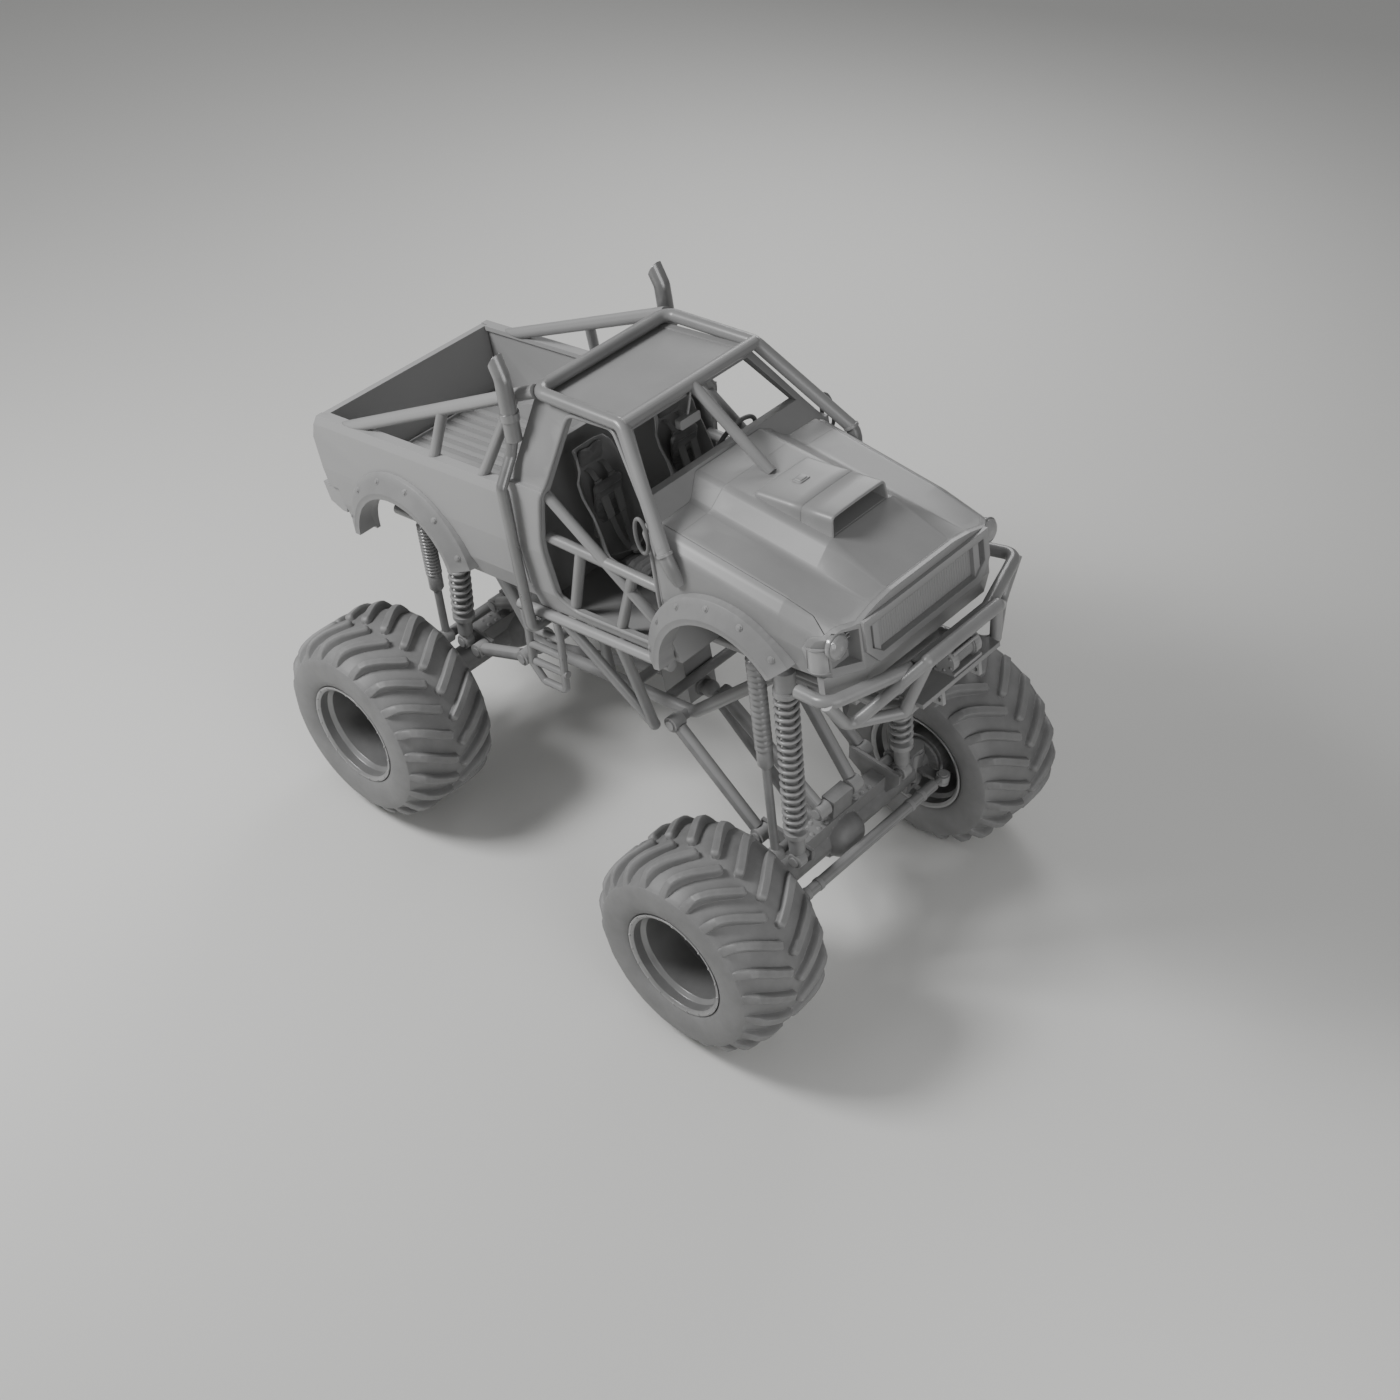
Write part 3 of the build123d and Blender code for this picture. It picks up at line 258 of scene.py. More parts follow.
def addRing(bm, centre, way, radius, thick, sides=48):  # round bar bent into a ring that faces a way
    place = placed(centre, centre + way)
    addTube(bm, [place @ Vector((x, y, 0)) for x, y in circle(radius, sides)], thick, sides=12, closed=True)


def addLoft(bm, loops, capStart=True, capEnd=True):  # closed loops of equal length, joined in order
    rows = [[bm.verts.new(point) for point in loop] for loop in loops]
    for low, high in zip(rows, rows[1:]):
        for k in range(len(low)):
            bm.faces.new((low[k], low[(k + 1) % len(low)], high[(k + 1) % len(low)], high[k]))
    if capStart:
        bm.faces.new(list(reversed(rows[0])))
    if capEnd:
        bm.faces.new(rows[-1])


def roundRect(halfX, halfY, radius, arc=6):  # outline of a rectangle with round corners
    points = []
    for cx, cy, start in ((1, 1, 0), (-1, 1, 90), (-1, -1, 180), (1, -1, 270)):
        for k in range(arc + 1):
            turn = radians(start + 90 * k / arc)
            points.append((cx * (halfX - radius) + radius * cos(turn), cy * (halfY - radius) + radius * sin(turn)))
    return points


def addPad(bm, place, halfX, halfY, thick, radius, edge):  # a plate with round corners and a rounded top edge
    layers = [(0.0, 0.0), (thick - edge, 0.0)]
    for angle in (30, 60, 90):
        layers.append((thick - edge * (1 - sin(radians(angle))), edge * (1 - cos(radians(angle)))))
    loops = []
    for rise, inset in layers:
        outline = roundRect(halfX - inset, halfY - inset, max(radius - inset, 0.001))
        loops.append([place @ Vector((x, y, rise)) for x, y in outline])
    addLoft(bm, loops)


def finishPiece(bm, name, slotName, bodyName, replaced=(), smooth=40):  # edges under the smooth angle look round
    bmesh.ops.recalc_face_normals(bm, faces=bm.faces[:])
    mesh = bpy.data.meshes.new(name)
    bm.to_mesh(mesh)
    bm.free()
    mesh.materials.append(finishes[finishOfSlot[slotName]])
    piece = bpy.data.objects.new(name, mesh)
    bpy.context.scene.collection.objects.link(piece)
    for face in mesh.polygons:
        face.use_smooth = True
    mesh.set_sharp_from_angle(angle=radians(smooth))
    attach(piece, bodyName)
    if replaced:
        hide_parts(*replaced)
    return piece


# tyres: a ballooned carcass with two staggered rows of swept lugs
tyre = {"lugs": 22, "sweep": 15.7, "lugHalf": 36.0, "sides": 132, "stagger": 0.5, "lugSteps": 4,
        # mm a lug is rooted, and blunted at its inner and outer end; its height's first share, mm to its full height
        "root": 2, "nose": 4, "tail": 14, "start": 0.55, "climb": 40,
        # axial, carcass radius
        "carcass": [(0, 783), (120, 781), (220, 770), (300, 750), (352, 724), (386, 703), (395, 697), (424, 689),
                    (433, 672), (440, 630), (443, 590), (443, 555), (437, 510), (425, 470), (408, 445), (398, 439)],
        # axial, radius of the hollow inside
        "hollow": [(330, 470), (300, 700), (0, 740), (-300, 700), (-330, 470)],
        # axial, lug tip radius, share of the sweep
        "lug": [(18, 838, 0.0), (70, 838, 0.12), (130, 838, 0.3), (200, 837.5, 0.52), (260, 828, 0.7),
                (310, 814, 0.84), (350, 792, 0.93), (385, 752, 0.98), (408, 718, 1.0), (423, 694, 1.0)],
        # across and up the lug, as shares of its half width and its height
        "section": [(-1.0, -0.2), (-0.99, 0.5), (-0.9, 0.84), (-0.68, 0.985), (0.0, 1.0), (0.68, 0.985), (0.9, 0.84),
                    (0.99, 0.5), (1.0, -0.2)]}


def carcassRadius(across):  # by straight lines between the rows of the table
    table = tyre["carcass"]
    for (a0, r0), (a1, r1) in zip(table, table[1:]):
        if a0 <= across <= a1:
            return r0 + (r1 - r0) * (across - a0) / (a1 - a0)
    return table[-1][1]


def onTyre(centre, across, radius, angle):  # mm about a wheel's axis, the angle turned forward from the top
    return centre + Vector((radius * sin(angle), across, radius * cos(angle))) / 1000


def endShare(distance):  # share of a lug's width at a distance from its rounded end
    return sqrt(1 - (1 - min(distance / tyre["lugHalf"], 1)) ** 2)


def addLug(bm, centre, hand, angle):
    section, table, steps = tyre["section"], tyre["lug"], tyre["lugSteps"]
    stations = []
    for (a0, t0, s0), (a1, t1, s1) in zip(table, table[1:]):
        for k in range(steps):
            f = k / steps
            stations.append((a0 + (a1 - a0) * f, t0 + (t1 - t0) * f, s0 + (s1 - s0) * f))
    stations.append(table[-1])
    rows, run, last = [], 0.0, None
    for across, tip, share in stations:
        turn = angle - radians(tyre["sweep"]) * share
        foot = onTyre(centre, hand * across, carcassRadius(across) - tyre["root"], turn)
        top = onTyre(centre, hand * across, tip, turn)
        if last is not None:
            run += (foot - last).length * 1000
        last = foot
        rows.append((foot, top, run))
    total = rows[-1][2]
    rings = []
    for i, (foot, top, run) in enumerate(rows):
        before, after = rows[max(i - 1, 0)][0], rows[min(i + 1, len(rows) - 1)][0]
        along = (after - before).normalized()
        up = top - foot
        side = along.cross(up.normalized()).normalized()
        width = tyre["lugHalf"] * endShare(run + tyre["nose"]) * endShare(total - run + tyre["tail"])
        rise = min(1.0, tyre["start"] + run / tyre["climb"])
        ring = []
        for u, v in section:
            ring.append(bm.verts.new(foot + side * (u * width / 1000) + up * (v * (rise if v > 0 else 1))))
        rings.append(ring)
    for low, high in zip(rings, rings[1:]):
        for k in range(len(section) - 1):
            bm.faces.new((low[k], low[k + 1], high[k + 1], high[k]))
        bm.faces.new((low[-1], low[0], high[0], high[-1]))
    bm.faces.new(rings[0])
    bm.faces.new(list(reversed(rings[-1])))


for wheel, way, centre in wheels:
    bm = bmesh.new()
    outline, sides = tyre["carcass"], tyre["sides"]
    ring = [(-a, r) for a, r in reversed(outline)] + outline[1:] + tyre["hollow"]
    rows = []
    for across, radius in ring:
        rows.append([bm.verts.new(onTyre(centre, across, radius, 2 * pi * k / sides)) for k in range(sides)])
    for low, high in zip(rows, rows[1:] + rows[:1]):
        for k in range(sides):
            bm.faces.new((low[k], low[(k + 1) % sides], high[(k + 1) % sides], high[k]))
    step = 2 * pi / tyre["lugs"]
    for n in range(tyre["lugs"]):
        addLug(bm, centre, 1, n * step)
        addLug(bm, centre, -1, (n + tyre["stagger"]) * step)
    finishPiece(bm, f"{wheel}_treaded_tyre", "tyre_rubber", f"{wheel}_wheel", (f"{wheel}_tyre",))
print("tyres")

# bolts: hexagon heads on a washer
boltHead = {"washer": 1.5, "washerTop": 0.2, "height": 0.65, "crown": 0.8,  # shares of the head's radius
            "sink": 0.004, "bevel": 0.001}


def addBolt(bm, point, way, radius):
    place = placed(point, point + way)
    washer, seat, top = (radius * boltHead[key] for key in ("washer", "washerTop", "height"))
    addLathe(bm, [(-boltHead["sink"], washer), (seat, washer)], place, sides=16)
    crown = (top + boltHead["bevel"], radius * boltHead["crown"])
    addLathe(bm, [(seat, radius), (top, radius), crown], place, sides=6)


# count, ring and face in mm from the wheel's centre, head radius
rimBolts = {"bead": (20, 427.0, 415.0, 0.0075), "hub": (8, 240.0, 25.0, 0.018)}
for wheel, way, centre in wheels:
    bm = bmesh.new()
    for count, ring, face, radius in rimBolts.values():
        for n in range(count):
            addBolt(bm, onTyre(centre, way * face, ring, 2 * pi * n / count), Vector((0, way, 0)), radius)
    finishPiece(bm, f"{wheel}_rim_bolts", "rim_alloy", f"{wheel}_wheel")
print("rim bolts")

# springs and dampers, each from its upper eye on the frame to its lower eye on the axle
springs = {"y": 615.0, "rise": 272.0, "eye": 0.064, "eyeHalf": 0.045, "eyeEdge": 0.008,
           "wire": 0.0155, "coil": 0.078, "pitch": 0.068, "turnSteps": 20, "seat": 0.3, "gap": 0.01,
           # distance along and radius: from the upper eye, the upper seat, the lower seat and the lower eye
           "head": [(0.03, 0.036), (0.07, 0.06), (0.08, 0.079)],
           "upperSeat": [(-0.06, 0.079), (-0.055, 0.092), (-0.01, 0.092), (0.0, 0.05)],
           "lowerSeat": [(0.0, 0.05), (0.01, 0.09), (0.05, 0.09), (0.055, 0.064)],
           "tail": [(-0.09, 0.062), (-0.08, 0.04), (-0.03, 0.036)],
           # axle, upper x, upper z, reach of the lower pin beyond the axle
           "coils": [("front", 1400, 160, 143), ("rear", -2017, 160, -75)]}
dampers = {"y": 690.0, "bootRibs": 15, "boot": 0.066, "bootGroove": 0.056, "bootStart": 0.1, "bootShare": 0.47,
           # distance along and radius: from the upper eye, the boot's end and the lower eye
           "head": [(0.03, 0.036), (0.07, 0.05), (0.08, 0.066)],
           "barrel": [(0.0, 0.056), (0.01, 0.06), (0.13, 0.06), (0.15, 0.048), (0.16, 0.034)],
           "tail": [(-0.07, 0.034), (-0.03, 0.036)],
           "shocks": [("front", 1205, 230, -9), ("rear", -2290, 230, 78)]}


def shifted(table, start):  # a table of distances and radii, counted from another start
    return [(start + along, radius) for along, radius in table]


def addEye(bm, point):
    across = Vector((0, springs["eyeHalf"], 0))
    rim, width, edge = springs["eye"], 2 * springs["eyeHalf"], springs["eyeEdge"]
    addLathe(bm, [(0, rim - edge), (edge, rim), (width - edge, rim), (width, rim - edge)],
             placed(point - across, point + across), sides=40)


bm = bmesh.new()
for way in (1, -1):
    for axle, x, z, reach in springs["coils"]:
        top, foot = atBody(x, way * springs["y"], z), atAxle(axle, reach, way * springs["y"], springs["rise"])
        place, length = placed(top, foot), (foot - top).length
        addEye(bm, top)
        addEye(bm, foot)
        upper, lower = springs["seat"], length - springs["seat"]
        addLathe(bm, springs["head"] + shifted(springs["upperSeat"], upper) + shifted(springs["lowerSeat"], lower)
                 + shifted(springs["tail"], length), place)
        coil, gap, turnSteps = springs["coil"], springs["gap"], springs["turnSteps"]
        run = lower - upper - 2 * gap
        steps = turnSteps * round(run / springs["pitch"])
        path = []
        for k in range(steps + 1):
            turn = 2 * pi * k / turnSteps
            path.append(place @ Vector((coil * cos(turn), coil * sin(turn), upper + gap + run * k / steps)))
        addTube(bm, path, springs["wire"], sides=10)
finishPiece(bm, "coil_springs", "spring_steel", "chassis", ("coilovers",))

bm = bmesh.new()
for way in (1, -1):
    for axle, x, z, reach in dampers["shocks"]:
        top, foot = atBody(x, way * dampers["y"], z), atAxle(axle, reach, way * dampers["y"], springs["rise"])
        place, length = placed(top, foot), (foot - top).length
        addEye(bm, top)
        addEye(bm, foot)
        bootStart, bootEnd = dampers["bootStart"], length * dampers["bootShare"]
        pitch = (bootEnd - bootStart) / dampers["bootRibs"]
        rib = [(0.0, dampers["bootGroove"]), (pitch * 0.3, dampers["boot"]), (pitch * 0.7, dampers["boot"])]
        outline = list(dampers["head"])
        for k in range(dampers["bootRibs"]):
            outline += shifted(rib, bootStart + k * pitch)
        addLathe(bm, outline + shifted(dampers["barrel"], bootEnd) + shifted(dampers["tail"], length), place)
finishPiece(bm, "ribbed_dampers", "spring_steel", "chassis", ("bypass_shocks",))
print("springs and dampers")

# hood scoop: a soft-edged hollow shell open at the front, with a seam across it and a small latch plate on top
scoop = {"rear": 1000, "half": 281, "skirt": 14, "top": 1191, "crown": 3, "corner": 46, "least": 14, "sink": 22,
         "lift": 20, "rearSteps": 6,  # a loop set in by more than the lift also rises off the hood
         # x and inset, forward over the seam to the mouth's lip, then back inside to the throat
         "skin": [(1150, 0), (1300, 0), (1415, 0), (1420, 5), (1425, 0), (1560, 0), (1676, 0), (1686, 2), (1690, 9),
                  (1688, 18), (1676, 24), (1550, 24), (1400, 24), (1290, 24)],
         # x, half length, half width, corner and edge, then the share and height of its two steps
         "latch": (1190, 0.052, 0.044, 0.016, 0.005), "latchSteps": ((1.0, 0.009), (0.7, 0.015)), "latchFoot": 2}
hoodLine = {"rear": 540, "rearTop": 1245, "long": 1150, "fall": 204}


def hoodTop(x):  # height of the hood's raised middle
    return hoodLine["rearTop"] - hoodLine["fall"] * (x - hoodLine["rear"]) / hoodLine["long"]


def scoopLoop(x, inset, drop=0.0):
    half, top = scoop["half"] - inset, scoop["top"] - inset - drop
    base = hoodTop(x) - scoop["sink"] + (inset if inset > scoop["lift"] else 0)
    corner = min(max(scoop["corner"] - inset, scoop["least"]), (top - base) * 0.8)
    points = [(half + scoop["skirt"], base), (half + scoop["skirt"] * 0.4, base + (top - corner - base) * 0.6)]
    for angle in (0, 18, 36, 54, 72, 90):
        turn = radians(angle)
        points.append((half - corner + corner * cos(turn), top - corner + corner * sin(turn)))
    points += [(half * f, top + scoop["crown"] * (1 - f * f)) for f in (0.5, 0.0)]
    return [atBody(x, y, z) for y, z in points] + [atBody(x, -y, z) for y, z in reversed(points[:-1])]


bm = bmesh.new()
loops = []
for k in range(scoop["rearSteps"] + 1):  # the rear edge rounds over
    turn = radians(90 * k / scoop["rearSteps"])
    edge = scoop["corner"] * (1 - sin(turn))
    loops.append(scoopLoop(scoop["rear"] + scoop["corner"] * (1 - cos(turn)), edge * 0.45, edge * 0.2))
addLoft(bm, loops + [scoopLoop(x, inset) for x, inset in scoop["skin"]])
x, halfX, halfY, corner, edge = scoop["latch"]
foot = atBody(x, 0, scoop["top"] + scoop["latchFoot"])
for share, rise in scoop["latchSteps"]:
    addPad(bm, placed(foot, foot + bodyWay(0, 0, 1)), halfX * share, halfY * share, rise, corner * share, edge)
finishPiece(bm, "scoop_shell", "body_shell", "chassis", ("hood_scoop",), smooth=50)
print("hood scoop")

# lamps: bezel rings on the round lamps, rims on the corner barrels, fine ribs on the grille panel
lampTrim = {"y": 795, "z": 630, "face": 2094, "bezel": 0.0905, "bezelThick": 0.008,
            "barrel": (1955, 805), "barrelR": 0.0995, "barrelEnds": (436, 616), "barrelThick": 0.007,
            "ribs": 39, "ribHalf": 488, "ribLow": 470, "ribHigh": 706, "ribFace": 2160, "rib": 0.0045}
bm = bmesh.new()
for way in (1, -1):
    spot = atBody(lampTrim["face"], way * lampTrim["y"], lampTrim["z"])
    addRing(bm, spot, bodyWay(1, 0, 0), lampTrim["bezel"], lampTrim["bezelThick"])
    x, y = lampTrim["barrel"]
    for z in lampTrim["barrelEnds"]:
        addRing(bm, atBody(x, way * y, z), bodyWay(0, 0, 1), lampTrim["barrelR"], lampTrim["barrelThick"])
finishPiece(bm, "lamp_bezels", "flare_plastic", "chassis")
bm = bmesh.new()
for k in range(lampTrim["ribs"]):
    y = lampTrim["ribHalf"] * (2 * k / (lampTrim["ribs"] - 1) - 1)
    ends = [atBody(lampTrim["ribFace"], y, z) for z in (lampTrim["ribLow"], lampTrim["ribHigh"])]
    addTube(bm, ends, lampTrim["rib"], sides=8)
finishPiece(bm, "grille_ribs", "flare_plastic", "chassis")
print("lamps and grille")

# six bolts along each fender flare, on its sloping face
flareBolts = {"count": 6, "radius": 0.017, "lean": 0.62, "base": 936, "lip": 110, "foot": 30, "inside": 50, "ends": 70,
              # arch x, z and radius, flare's outer radius, first and last angle
              "arches": [(1180, 16, 570, 760, 44, 168), (-2150, 46, 535, 735, 18, 162)]}
bm = bmesh.new()
for archX, archZ, inner, outer, first, last in flareBolts["arches"]:
    run = outer - inner - flareBolts["ends"]
    fall = flareBolts["lip"] - flareBolts["foot"]
    for n in range(flareBolts["count"]):
        turn = radians(first + (last - first) * n / (flareBolts["count"] - 1))
        away = inner + flareBolts["inside"] + run * flareBolts["lean"]
        y = flareBolts["base"] + flareBolts["lip"] - fall * flareBolts["lean"]
        for way in (1, -1):
            point = atBody(archX + away * cos(turn), way * y, archZ + away * sin(turn))
            addBolt(bm, point, bodyWay(fall * cos(turn), way * run, fall * sin(turn)), flareBolts["radius"])
finishPiece(bm, "flare_bolts", "running_gear", "chassis")
print("flare bolts")

# bucket seats: a hard winged shell, quilted pads blown up in it, and a harness laid over them
seats = {"y": 400, "apart": 0.8, "wall": 16, "wallBack": 1.6, "sink": 46,
         # x, z, half width, how far the wings stand forward
         "shell": [(132, 300, 196, 4), (122, 366, 204, 24), (60, 384, 210, 62), (-110, 402, 214, 92),
                   (-215, 420, 216, 112), (-276, 478, 214, 120), (-302, 610, 210, 112), (-336, 770, 210, 96),
                   (-368, 915, 218, 62), (-392, 1020, 206, 50), (-412, 1095, 182, 84), (-432, 1180, 164, 80),
                   (-446, 1228, 140, 34)],
         # centre x, z, lean from level, half length, half width, thickness
         "pads": [(-70, 376, -6, 0.165, 0.142, 0.042), (-352, 735, -102, 0.25, 0.142, 0.04),
                  (-438, 1130, -102, 0.075, 0.118, 0.036)],
         "padCorner": 0.035, "padEdge": 0.016, "voxel": 0.009, "pressure": 4.0, "frames": 20, "cap": 0.016,
         # sewn channels: pitch, depth, half width, distance from the pad's edge, reach below and above its face
         "channel": (0.062, 0.011, 0.012, 0.02), "channelReach": (-0.02, 0.05)}
# across as a share of the half width, forward as a share of the wings
wingShape = [(-1.0, 1.0), (-0.97, 0.93), (-0.9, 0.7), (-0.8, 0.36), (-0.68, 0.1), (-0.5, 0.0), (-0.25, -0.02),
             (0.0, -0.02)]
wingShape += [(-u, g) for u, g in reversed(wingShape[:-1])]


def seatNormal(i):  # across the seat's line, up from the pan and forward from the back
    table = seats["shell"]
    ahead, behind = table[min(i + 1, len(table) - 1)], table[max(i - 1, 0)]
    dx, dz = ahead[0] - behind[0], ahead[1] - behind[1]
    size = sqrt(dx * dx + dz * dz)
    return dz / size, -dx / size


bm = bmesh.new()
loops = []
for i, (x, z, half, wing) in enumerate(seats["shell"]):
    nx, nz = seatNormal(i)
    inner = [(half * u, wing * g - seats["sink"]) for u, g in wingShape]
    outer = [((half + seats["wall"]) * u, wing * g - seats["sink"] - seats["wall"] * (seats["wallBack"] - g))
             for u, g in reversed(wingShape)]
    loops.append([atBody(x + nx * n, y - seats["y"], z + nz * n) for y, n in inner + outer])
addLoft(bm, loops)
shell = finishPiece(bm, "right_seat_shell", "flare_plastic", "chassis", ("seats",), smooth=60)


def inflate(piece):  # blows the pads up a little with Blender's cloth, each point held within the cap
    coarse = piece.modifiers.new("voxels", "REMESH")
    coarse.mode, coarse.voxel_size = "VOXEL", seats["voxel"]
    piece.data = bpy.data.meshes.new_from_object(piece.evaluated_get(bpy.context.evaluated_depsgraph_get()))
    piece.modifiers.clear()
    rest = [v.co.copy() for v in piece.data.vertices]
    cloth = piece.modifiers.new("cloth", "CLOTH")
    cloth.settings.use_pressure, cloth.settings.uniform_pressure_force = True, seats["pressure"]
    cloth.settings.effector_weights.gravity = 0.0
    cloth.point_cache.frame_start, cloth.point_cache.frame_end = 1, seats["frames"]
    for step in range(1, seats["frames"] + 1):
        bpy.context.scene.frame_set(step)
    blown = piece.evaluated_get(bpy.context.evaluated_depsgraph_get()).to_mesh()
    moved = [v.co.copy() for v in blown.vertices]
    piece.modifiers.clear()
    bpy.context.scene.frame_set(1)
    for vertex, old, new in zip(piece.data.vertices, rest, moved):
        shift = new - old
        vertex.co = old + (shift if shift.length < seats["cap"] else shift.normalized() * seats["cap"])


def padPlace(x, z, lean):  # X along the pad, Z out of its face
    way = bodyWay(sin(radians(-lean)), 0, cos(radians(lean)))
    along = bodyWay(cos(radians(lean)), 0, sin(radians(lean)))
    across = way.cross(along)
    turn = Matrix((along, across, way)).transposed().to_4x4()
    return Matrix.Translation(atBody(x, -seats["y"], z)) @ turn


bm = bmesh.new()
for x, z, lean, halfLength, halfWidth, thick in seats["pads"]:
    place = padPlace(x, z, lean) @ Matrix.Translation((0, 0, -thick))
    addPad(bm, place, halfLength, halfWidth, thick, seats["padCorner"], seats["padEdge"])
pads = finishPiece(bm, "right_seat_pads", "seat_cloth", "chassis", smooth=180)
inflate(pads)
pads.data.materials.clear()
pads.data.materials.append(finishes["wovenSeatCloth"])
pitch, depth, half, margin = seats["channel"]
low, high = seats["channelReach"]
for x, z, lean, halfLength, halfWidth, thick in seats["pads"][:2]:  # sewn channels across the pan and the back
    place = padPlace(x, z, lean)
    inward, turned = place.inverted(), place.to_3x3()
    for vertex in pads.data.vertices:
        spot = inward @ vertex.co
        if abs(spot.x) < halfLength - margin and abs(spot.y) < halfWidth - margin and low < spot.z < high:
            near = abs((spot.x / pitch + 0.5) % 1.0 - 0.5) * pitch
            vertex.co -= turned @ Vector((0, 0, depth * max(0.0, 1 - near / half)))
for face in pads.data.polygons:
    face.use_smooth = True

harness = {"half": 0.024, "thick": 0.004, "padHalf": 0.034, "padThick": 0.014, "padLift": 0.004,
           # across and up the webbing, as shares of its half width and its thickness
           "section": ((-1, 0), (-0.94, 0.5), (0.94, 0.5), (1, 0), (0.94, -0.5), (-0.94, -0.5)),
           "shoulder": [(-452, 70, 1052), (-400, 70, 1048), (-352, 68, 985), (-318, 64, 850), (-286, 58, 700),
                        (-250, 46, 560), (-205, 26, 462), (-170, 8, 436)],
           "lap": [(-246, 196, 462), (-222, 150, 452), (-196, 90, 446), (-172, 14, 437)],
           # the buckle's foot, then its half width, thickness, corner and edge
           "buckle": (-160, 0, 428), "buckleSize": (0.034, 0.026, 0.03, 0.008)}


def addRibbon(bm, path, way, half, thick):  # flat webbing with square edges
    rings = []
    for i, point in enumerate(path):
        along = (path[min(i + 1, len(path) - 1)] - path[max(i - 1, 0)]).normalized()
        side = (way - along * way.dot(along)).normalized()
        up = along.cross(side)
        rings.append([point + side * (half * a) + up * (thick * b) for a, b in harness["section"]])
    addLoft(bm, rings)


bm = bmesh.new()
for way in (1, -1):
    line = [atBody(x, y * way - seats["y"], z) for x, y, z in harness["shoulder"]]
    addRibbon(bm, line, Vector((0, 1, 0)), harness["half"], harness["thick"])
    cushion = [point + bodyWay(1, 0, 0.2) * harness["padLift"] for point in line[2:5]]  # over the chest
    addRibbon(bm, cushion, Vector((0, 1, 0)), harness["padHalf"], harness["padThick"])
    line = [atBody(x, y * way - seats["y"], z) for x, y, z in harness["lap"]]
    addRibbon(bm, line, bodyWay(1, 0, 0.4), harness["half"], harness["thick"])
x, y, z = harness["buckle"]
half, thick, corner, edge = harness["buckleSize"]
foot = atBody(x, y - seats["y"], z)
addPad(bm, placed(foot, foot + bodyWay(0.3, 0, 1)), half, half, thick, corner, edge)
straps = finishPiece(bm, "right_harness", "seat_cloth", "chassis", smooth=50)
twins = ((shell, "left_seat_shell", "flare_plastic"), (pads, "left_seat_pads", "seat_cloth"),
         (straps, "left_harness", "seat_cloth"))
for source, name, slotName in twins:
    bm = bmesh.new()
    bm.from_mesh(source.data)
    bmesh.ops.translate(bm, verts=bm.verts[:], vec=(0, seats["apart"], 0))
    twin = finishPiece(bm, name, slotName, "chassis", smooth=60)
print("seats and harness")

# cab fittings: instrument pod on the dash, mirror under the header, a grab loop at each pillar's foot
cab = {"pod": (453, 350, 1046), "podLong": 170, "podEnds": (40, 30), "podSwell": (92, 150), "podSteps": 8,
       "mirror": (300, -112, 1470), "mirrorHalf": (0.1, 0.036, 0.03), "mirrorCorner": 0.016, "mirrorEdge": 0.012,
       "stem": [(0, 0, 20), (-6, 40, 90), (-20, 86, 170)], "stemBar": 0.01,  # from the mirror's middle
       "loop": (596, 962, 1085), "loopSize": (56, 135), "loopBar": 0.014, "loopSteps": 32}
bm = bmesh.new()
x, y, z = cab["pod"]
loops = []
for k in range(cab["podSteps"] + 1):  # a hump drawn out toward the driver
    f = k / cab["podSteps"]
    swell = sqrt(max(0.0, 1 - (2 * f - 1) ** 4))
    half, high = (end + more * swell for end, more in zip(cab["podEnds"], cab["podSwell"]))
    ring = []
    for angle in range(0, 181, 12):
        turn = radians(angle)
        ring.append(atBody(x + cab["podLong"] * f, y + half * cos(turn), z + high * sin(turn)))
    loops.append(ring)
addLoft(bm, loops)
finishPiece(bm, "instrument_pod", "flare_plastic", "chassis", smooth=60)
bm = bmesh.new()
x, y, z = cab["mirror"]
halfY, halfZ, deep = cab["mirrorHalf"]
turn = Matrix((Vector((0, 1, 0)), bodyWay(0, 0, 1), bodyWay(-1, 0, 0))).transposed().to_4x4()
place = Matrix.Translation(atBody(x, y, z)) @ turn @ Matrix.Translation((0, 0, -deep))
addPad(bm, place, halfY, halfZ, 2 * deep, cab["mirrorCorner"], cab["mirrorEdge"])
addTube(bm, [atBody(x + dx, y + dy, z + dz) for dx, dy, dz in cab["stem"]], cab["stemBar"], sides=12)
finishPiece(bm, "cab_mirror", "flare_plastic", "chassis", smooth=50)
bm = bmesh.new()
for way in (1, -1):
    x, y, z = cab["loop"]
    halfX, halfZ = cab["loopSize"]
    ring = [atBody(x + halfX * u, way * y, z + halfZ * v) for u, v in circle(1, cab["loopSteps"])]
    addTube(bm, ring, cab["loopBar"], sides=14, closed=True)
finishPiece(bm, "grab_loops", "grip_rubber", "chassis")
print("cab fittings")

# winch: a grooved drum between its end housings, with tie bars over it and bolts on the housings' ends
winch = {"x": 2335, "z": 160, "ends": (-70, 235), "housing": 60, "drum": 0.066, "groove": 0.006, "turns": 15,
         "flange": 0.082, "flangeThick": 0.008, "flangeFoot": 0.012,
         "bar": (72, 66), "barIn": 20, "barSize": 0.012, "bolts": 6, "boltRing": 70, "bolt": 0.009}
bm = bmesh.new()
first, last = winch["ends"]
ends = [atBody(winch["x"], y, winch["z"]) for y in (first + winch["housing"], last - winch["housing"])]
place, length = placed(*ends), (ends[1] - ends[0]).length
drum, flange, thick, foot = (winch[key] for key in ("drum", "flange", "flangeThick", "flangeFoot"))
outline = [(0.0, flange), (thick, flange), (foot, drum)]
pitch = (length - 2 * foot) / winch["turns"]
for k in range(winch["turns"]):
    for f in (0.1, 0.3, 0.5, 0.7, 0.9):
        outline.append((foot + (k + f) * pitch, drum + winch["groove"] * (1 - (2 * f - 1) ** 2)))
outline += [(length - foot, drum), (length - thick, flange), (length, flange)]
addLathe(bm, outline, place)
reach, rise = winch["bar"]
